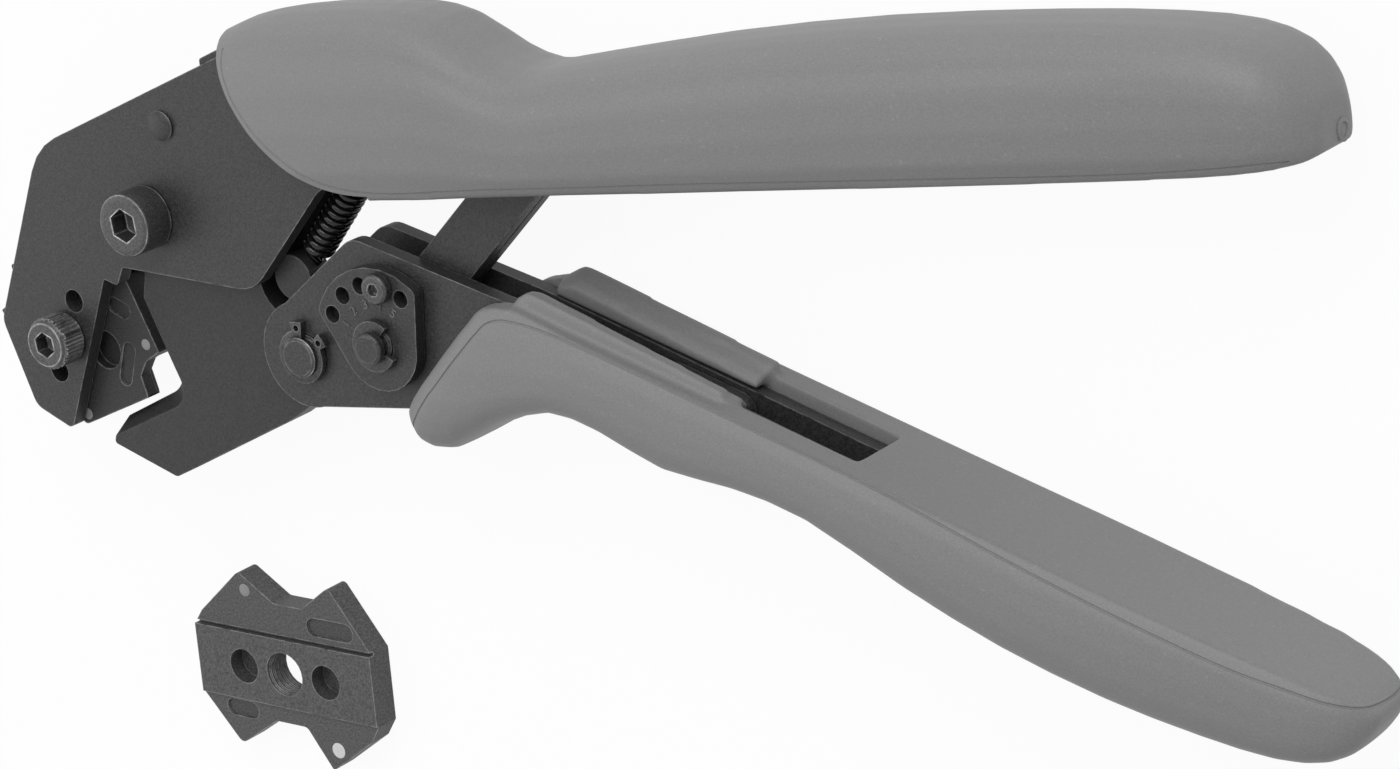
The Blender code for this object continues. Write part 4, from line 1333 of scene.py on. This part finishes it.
    def trim_front(self, skin: Piece) -> None:
        """Trim the upper grip's arched front edge clean.

        Args:
            skin: the upper grip.
        """
        tool = Bench.block(*self.front_block)
        arch = Bench.rod("front_arch", self.front_centre, self.front_radius, *self.front_levels, 240)
        Bench.carve(tool, arch)
        Bench.carve(skin, tool, solver="MANIFOLD")

    def gate_mark(self, skin: Piece) -> None:
        """Make the round moulding mark on the upper grip's end.

        Args:
            skin: the upper grip.
        """
        bpy.context.view_layer.update()
        _, spot, out, _ = skin.closest_point_on_mesh(Vector(self.gate))
        profile = [(wide * MM, tall * MM) for wide, tall in self.gate_profile]
        made = Bench.lathe("upper_gate_mark", (0.0, 0.0), profile, 40)
        made.rotation_euler = out.to_track_quat("Z", "Y").to_euler()
        made.location = spot
        Bench.settle(made)
        Bench.soften(made, FACETS)
        self.dresser.dress(made, Slot.GRIP, Body.HEAD)


@dataclass
class Studio:
    """Pale floor, soft light and the camera."""

    eye: Point3 = (0.380015, 0.097057, 0.389485)
    ahead: Point3 = (-0.60156, -0.24177, -0.76136)
    up: Point3 = (-0.00568, 0.95437, -0.29857)
    lens: float = 108.0
    sensor: float = 36.0
    near: float = 0.01
    floor_side: float = 6.0
    floor_drop: float = 0.00005
    floor_tones: Point2 = (0.9, 0.93)
    floor_cloud: float = 3.0
    whiteness: float = 0.94
    fill: float = 0.44
    lamps: tuple[tuple[str, Point3, Point3, float, float], ...] = (
        ("key", (0.3, 0.75, 0.75), (0.06, -0.02, 0.0), 0.8, 6.8),
        ("side", (-0.7, 0.05, 0.55), (0.02, -0.02, 0.0), 0.5, 1.2))

    def build(self) -> None:
        """Set up the floor, the light and the camera."""
        bpy.context.scene.view_settings.view_transform = "Standard"
        self.floor()
        self.world()
        for lamp in self.lamps:
            self.lamp(*lamp)
        self.camera()

    def floor(self) -> None:
        """Lay a white floor that keeps the object's shadow."""
        Bench.clear()
        bpy.ops.mesh.primitive_plane_add(size=self.floor_side, location=(0.0, 0.0, -self.floor_drop))
        made = bpy.context.object
        made.name = "floor"
        graph = Graph("white_floor")
        cloud = graph.noise(self.floor_cloud, 2.0)
        graph.surface(base_color=graph.shade(cloud, 1.0, self.floor_tones), roughness=0.9)
        white = graph.node("ShaderNodeEmission", None, {"Color": grey(1.0), "Strength": 1.0})
        plain = Sock(graph, graph.shader.outputs[0])
        seen = self.seen(graph) * self.whiteness
        mixed = graph.node("ShaderNodeMixShader", None, {0: seen, 1: plain, 2: white})
        graph.feed(graph.tree.nodes["Material Output"].inputs["Surface"], mixed)
        made.data.materials.append(graph.material)

    @staticmethod
    def seen(graph: Graph) -> Sock:
        """Tell rays that show the background in the picture or in a reflection from those that light.

        Args:
            graph: the graph that asks.
        Returns:
            1 for rays that show it, 0 for the others.
        """
        rays = [graph.node("ShaderNodeLightPath", out=name)
                for name in ("Is Camera Ray", "Is Glossy Ray", "Is Transmission Ray")]
        return (rays[0] + rays[1] + rays[2]).held()

    def world(self) -> None:
        """Fill the room with plain white light, and show it white."""
        world = bpy.data.worlds.new("room")
        bpy.context.scene.world = world
        world.use_nodes = True
        graph = Graph.of(world.node_tree)
        back = world.node_tree.nodes["Background"]
        back.inputs["Color"].default_value = grey(1.0)
        graph.feed(back.inputs["Strength"], self.fill + self.seen(graph) * (1.0 - self.fill))

    def lamp(self, name: str, place: Point3, target: Point3, size: float, power: float) -> None:
        """Hang one soft lamp.

        Args:
            name: the lamp's name.
            place: where it hangs.
            target: what it faces.
            size: its side in metres.
            power: its watts.
        """
        light = bpy.data.lights.new(name, "AREA")
        light.size = size
        light.energy = power
        made = Bench.add(name, light)
        made.location = place
        made.rotation_euler = (Vector(target) - Vector(place)).to_track_quat("-Z", "Y").to_euler()

    def camera(self) -> None:
        """Place the camera where the photograph was taken from."""
        lens = bpy.data.cameras.new("camera")
        lens.lens = self.lens
        lens.sensor_width = self.sensor
        lens.clip_start = self.near
        made = Bench.add("camera", lens)
        back = -Vector(self.ahead).normalized()
        right = Vector(self.up).cross(back).normalized()
        turn = Matrix((right, back.cross(right), back)).transposed().to_4x4()
        made.matrix_world = Matrix.Translation(self.eye) @ turn
        bpy.context.scene.camera = made


def make_dresser() -> Dresser:
    """Make every finish.

    Returns:
        The dresser that holds them.
    """
    finishes = {
        Slot.BLACK: SteelFinish("black_oxide", 0.037, 0.26, 0.52, 0.3),
        Slot.DIE: SteelFinish("blasted_die", 0.08, 0.34, 0.6, 0.3, grain=3600.0, depth=0.03 * MM,
                              edge=0.28 * MM, gain=7.0),
        Slot.SCREW: SteelFinish("oiled_screw", 0.066, 0.5, 0.42, 0.5, grain=4400.0, depth=0.02 * MM,
                                edge=0.42 * MM, wear=1.0, gain=12.0),
        Slot.CLIP: SteelFinish("phosphated_clip", 0.048, 0.3, 0.42, 0.4),
        Slot.SPRING: SteelFinish("gloss_wire", 0.012, 0.05, 0.16, 0.3, grain=900.0, depth=0.004 * MM,
                                 edge=0.05 * MM, wear=0.2),
        Slot.GRIP: MouldedFinish("matte_grip", 0.214, 0.55),
    }
    others = {
        Shade.JAW: SteelFinish("jaw_oxide", 0.028, 0.24, 0.55, 0.3),
        Shade.PIN: SteelFinish("worn_pin", 0.04, 0.5, 0.45, 0.4, depth=0.02 * MM, edge=0.42 * MM, wear=1.0,
                               gain=12.0),
        # painted shade: the blasted die steel made darker for the shade the head plate casts on the mounted
        # die
        Shade.MOUNTED: SteelFinish("mounted_die_painted_shade", 0.027, 0.3, 0.6, 0.3, grain=3600.0, depth=0.03 * MM,
                                   edge=0.35 * MM, wear=0.9),
        # engraved mark floors of the mounted die: the engraving's own darker tone, lowered further as
        # painted shade for the head plate's shade
        Shade.RECESS: SteelFinish("mounted_recess_painted_shade", 0.024, 0.04, 0.65, 0.2, grain=3600.0, depth=0.02 * MM,
                                  edge=0.05 * MM, wear=0.1),
        Shade.SPARE_RECESS: SteelFinish("spare_recess", 0.055, 0.08, 0.65, 0.2, grain=3600.0,
                                        depth=0.02 * MM, edge=0.05 * MM, wear=0.1),
        Shade.GREY_DOT: PaintFinish("grey_dot", 0.26),
        Shade.WHITE_DOT: PaintFinish("white_dot", 0.72),
    }
    return Dresser({slot: finish.make() for slot, finish in finishes.items()},
                   {shade: finish.make() for shade, finish in others.items()})


def keep_hidden(dresser: Dresser) -> None:
    """Dress the small inner nodes that are carried over.

    Args:
        dresser: the dresser.
    """
    inner = {
        Slot.SCREW: ("spacer_rivet", "spring_peg", "strut_pin", "pivot_bush", "handle_rivet_1",
                     "handle_rivet_2", "pawl_pin"),
        Slot.BLACK: ("handle_spacer_1", "handle_spacer_2", "strut_rivet", "pawl"),
        Slot.CLIP: ("pawl_spring",)}
    for slot, nodes in inner.items():
        for node in nodes:
            dresser.keep(node, slot)


def main() -> None:
    """Build the pieces in order, then the studio."""
    logging.basicConfig(level=logging.INFO, format="%(name)s: %(message)s")
    dresser = make_dresser()
    Plates(dresser).build()
    Jaw(dresser).build()
    Screws(dresser).build()
    ReturnSpring(dresser).build()
    Dial(dresser).build()
    Dies(dresser).build()
    Grips(dresser).build()
    keep_hidden(dresser)
    Studio().build()


if __name__ == "__main__":
    main()
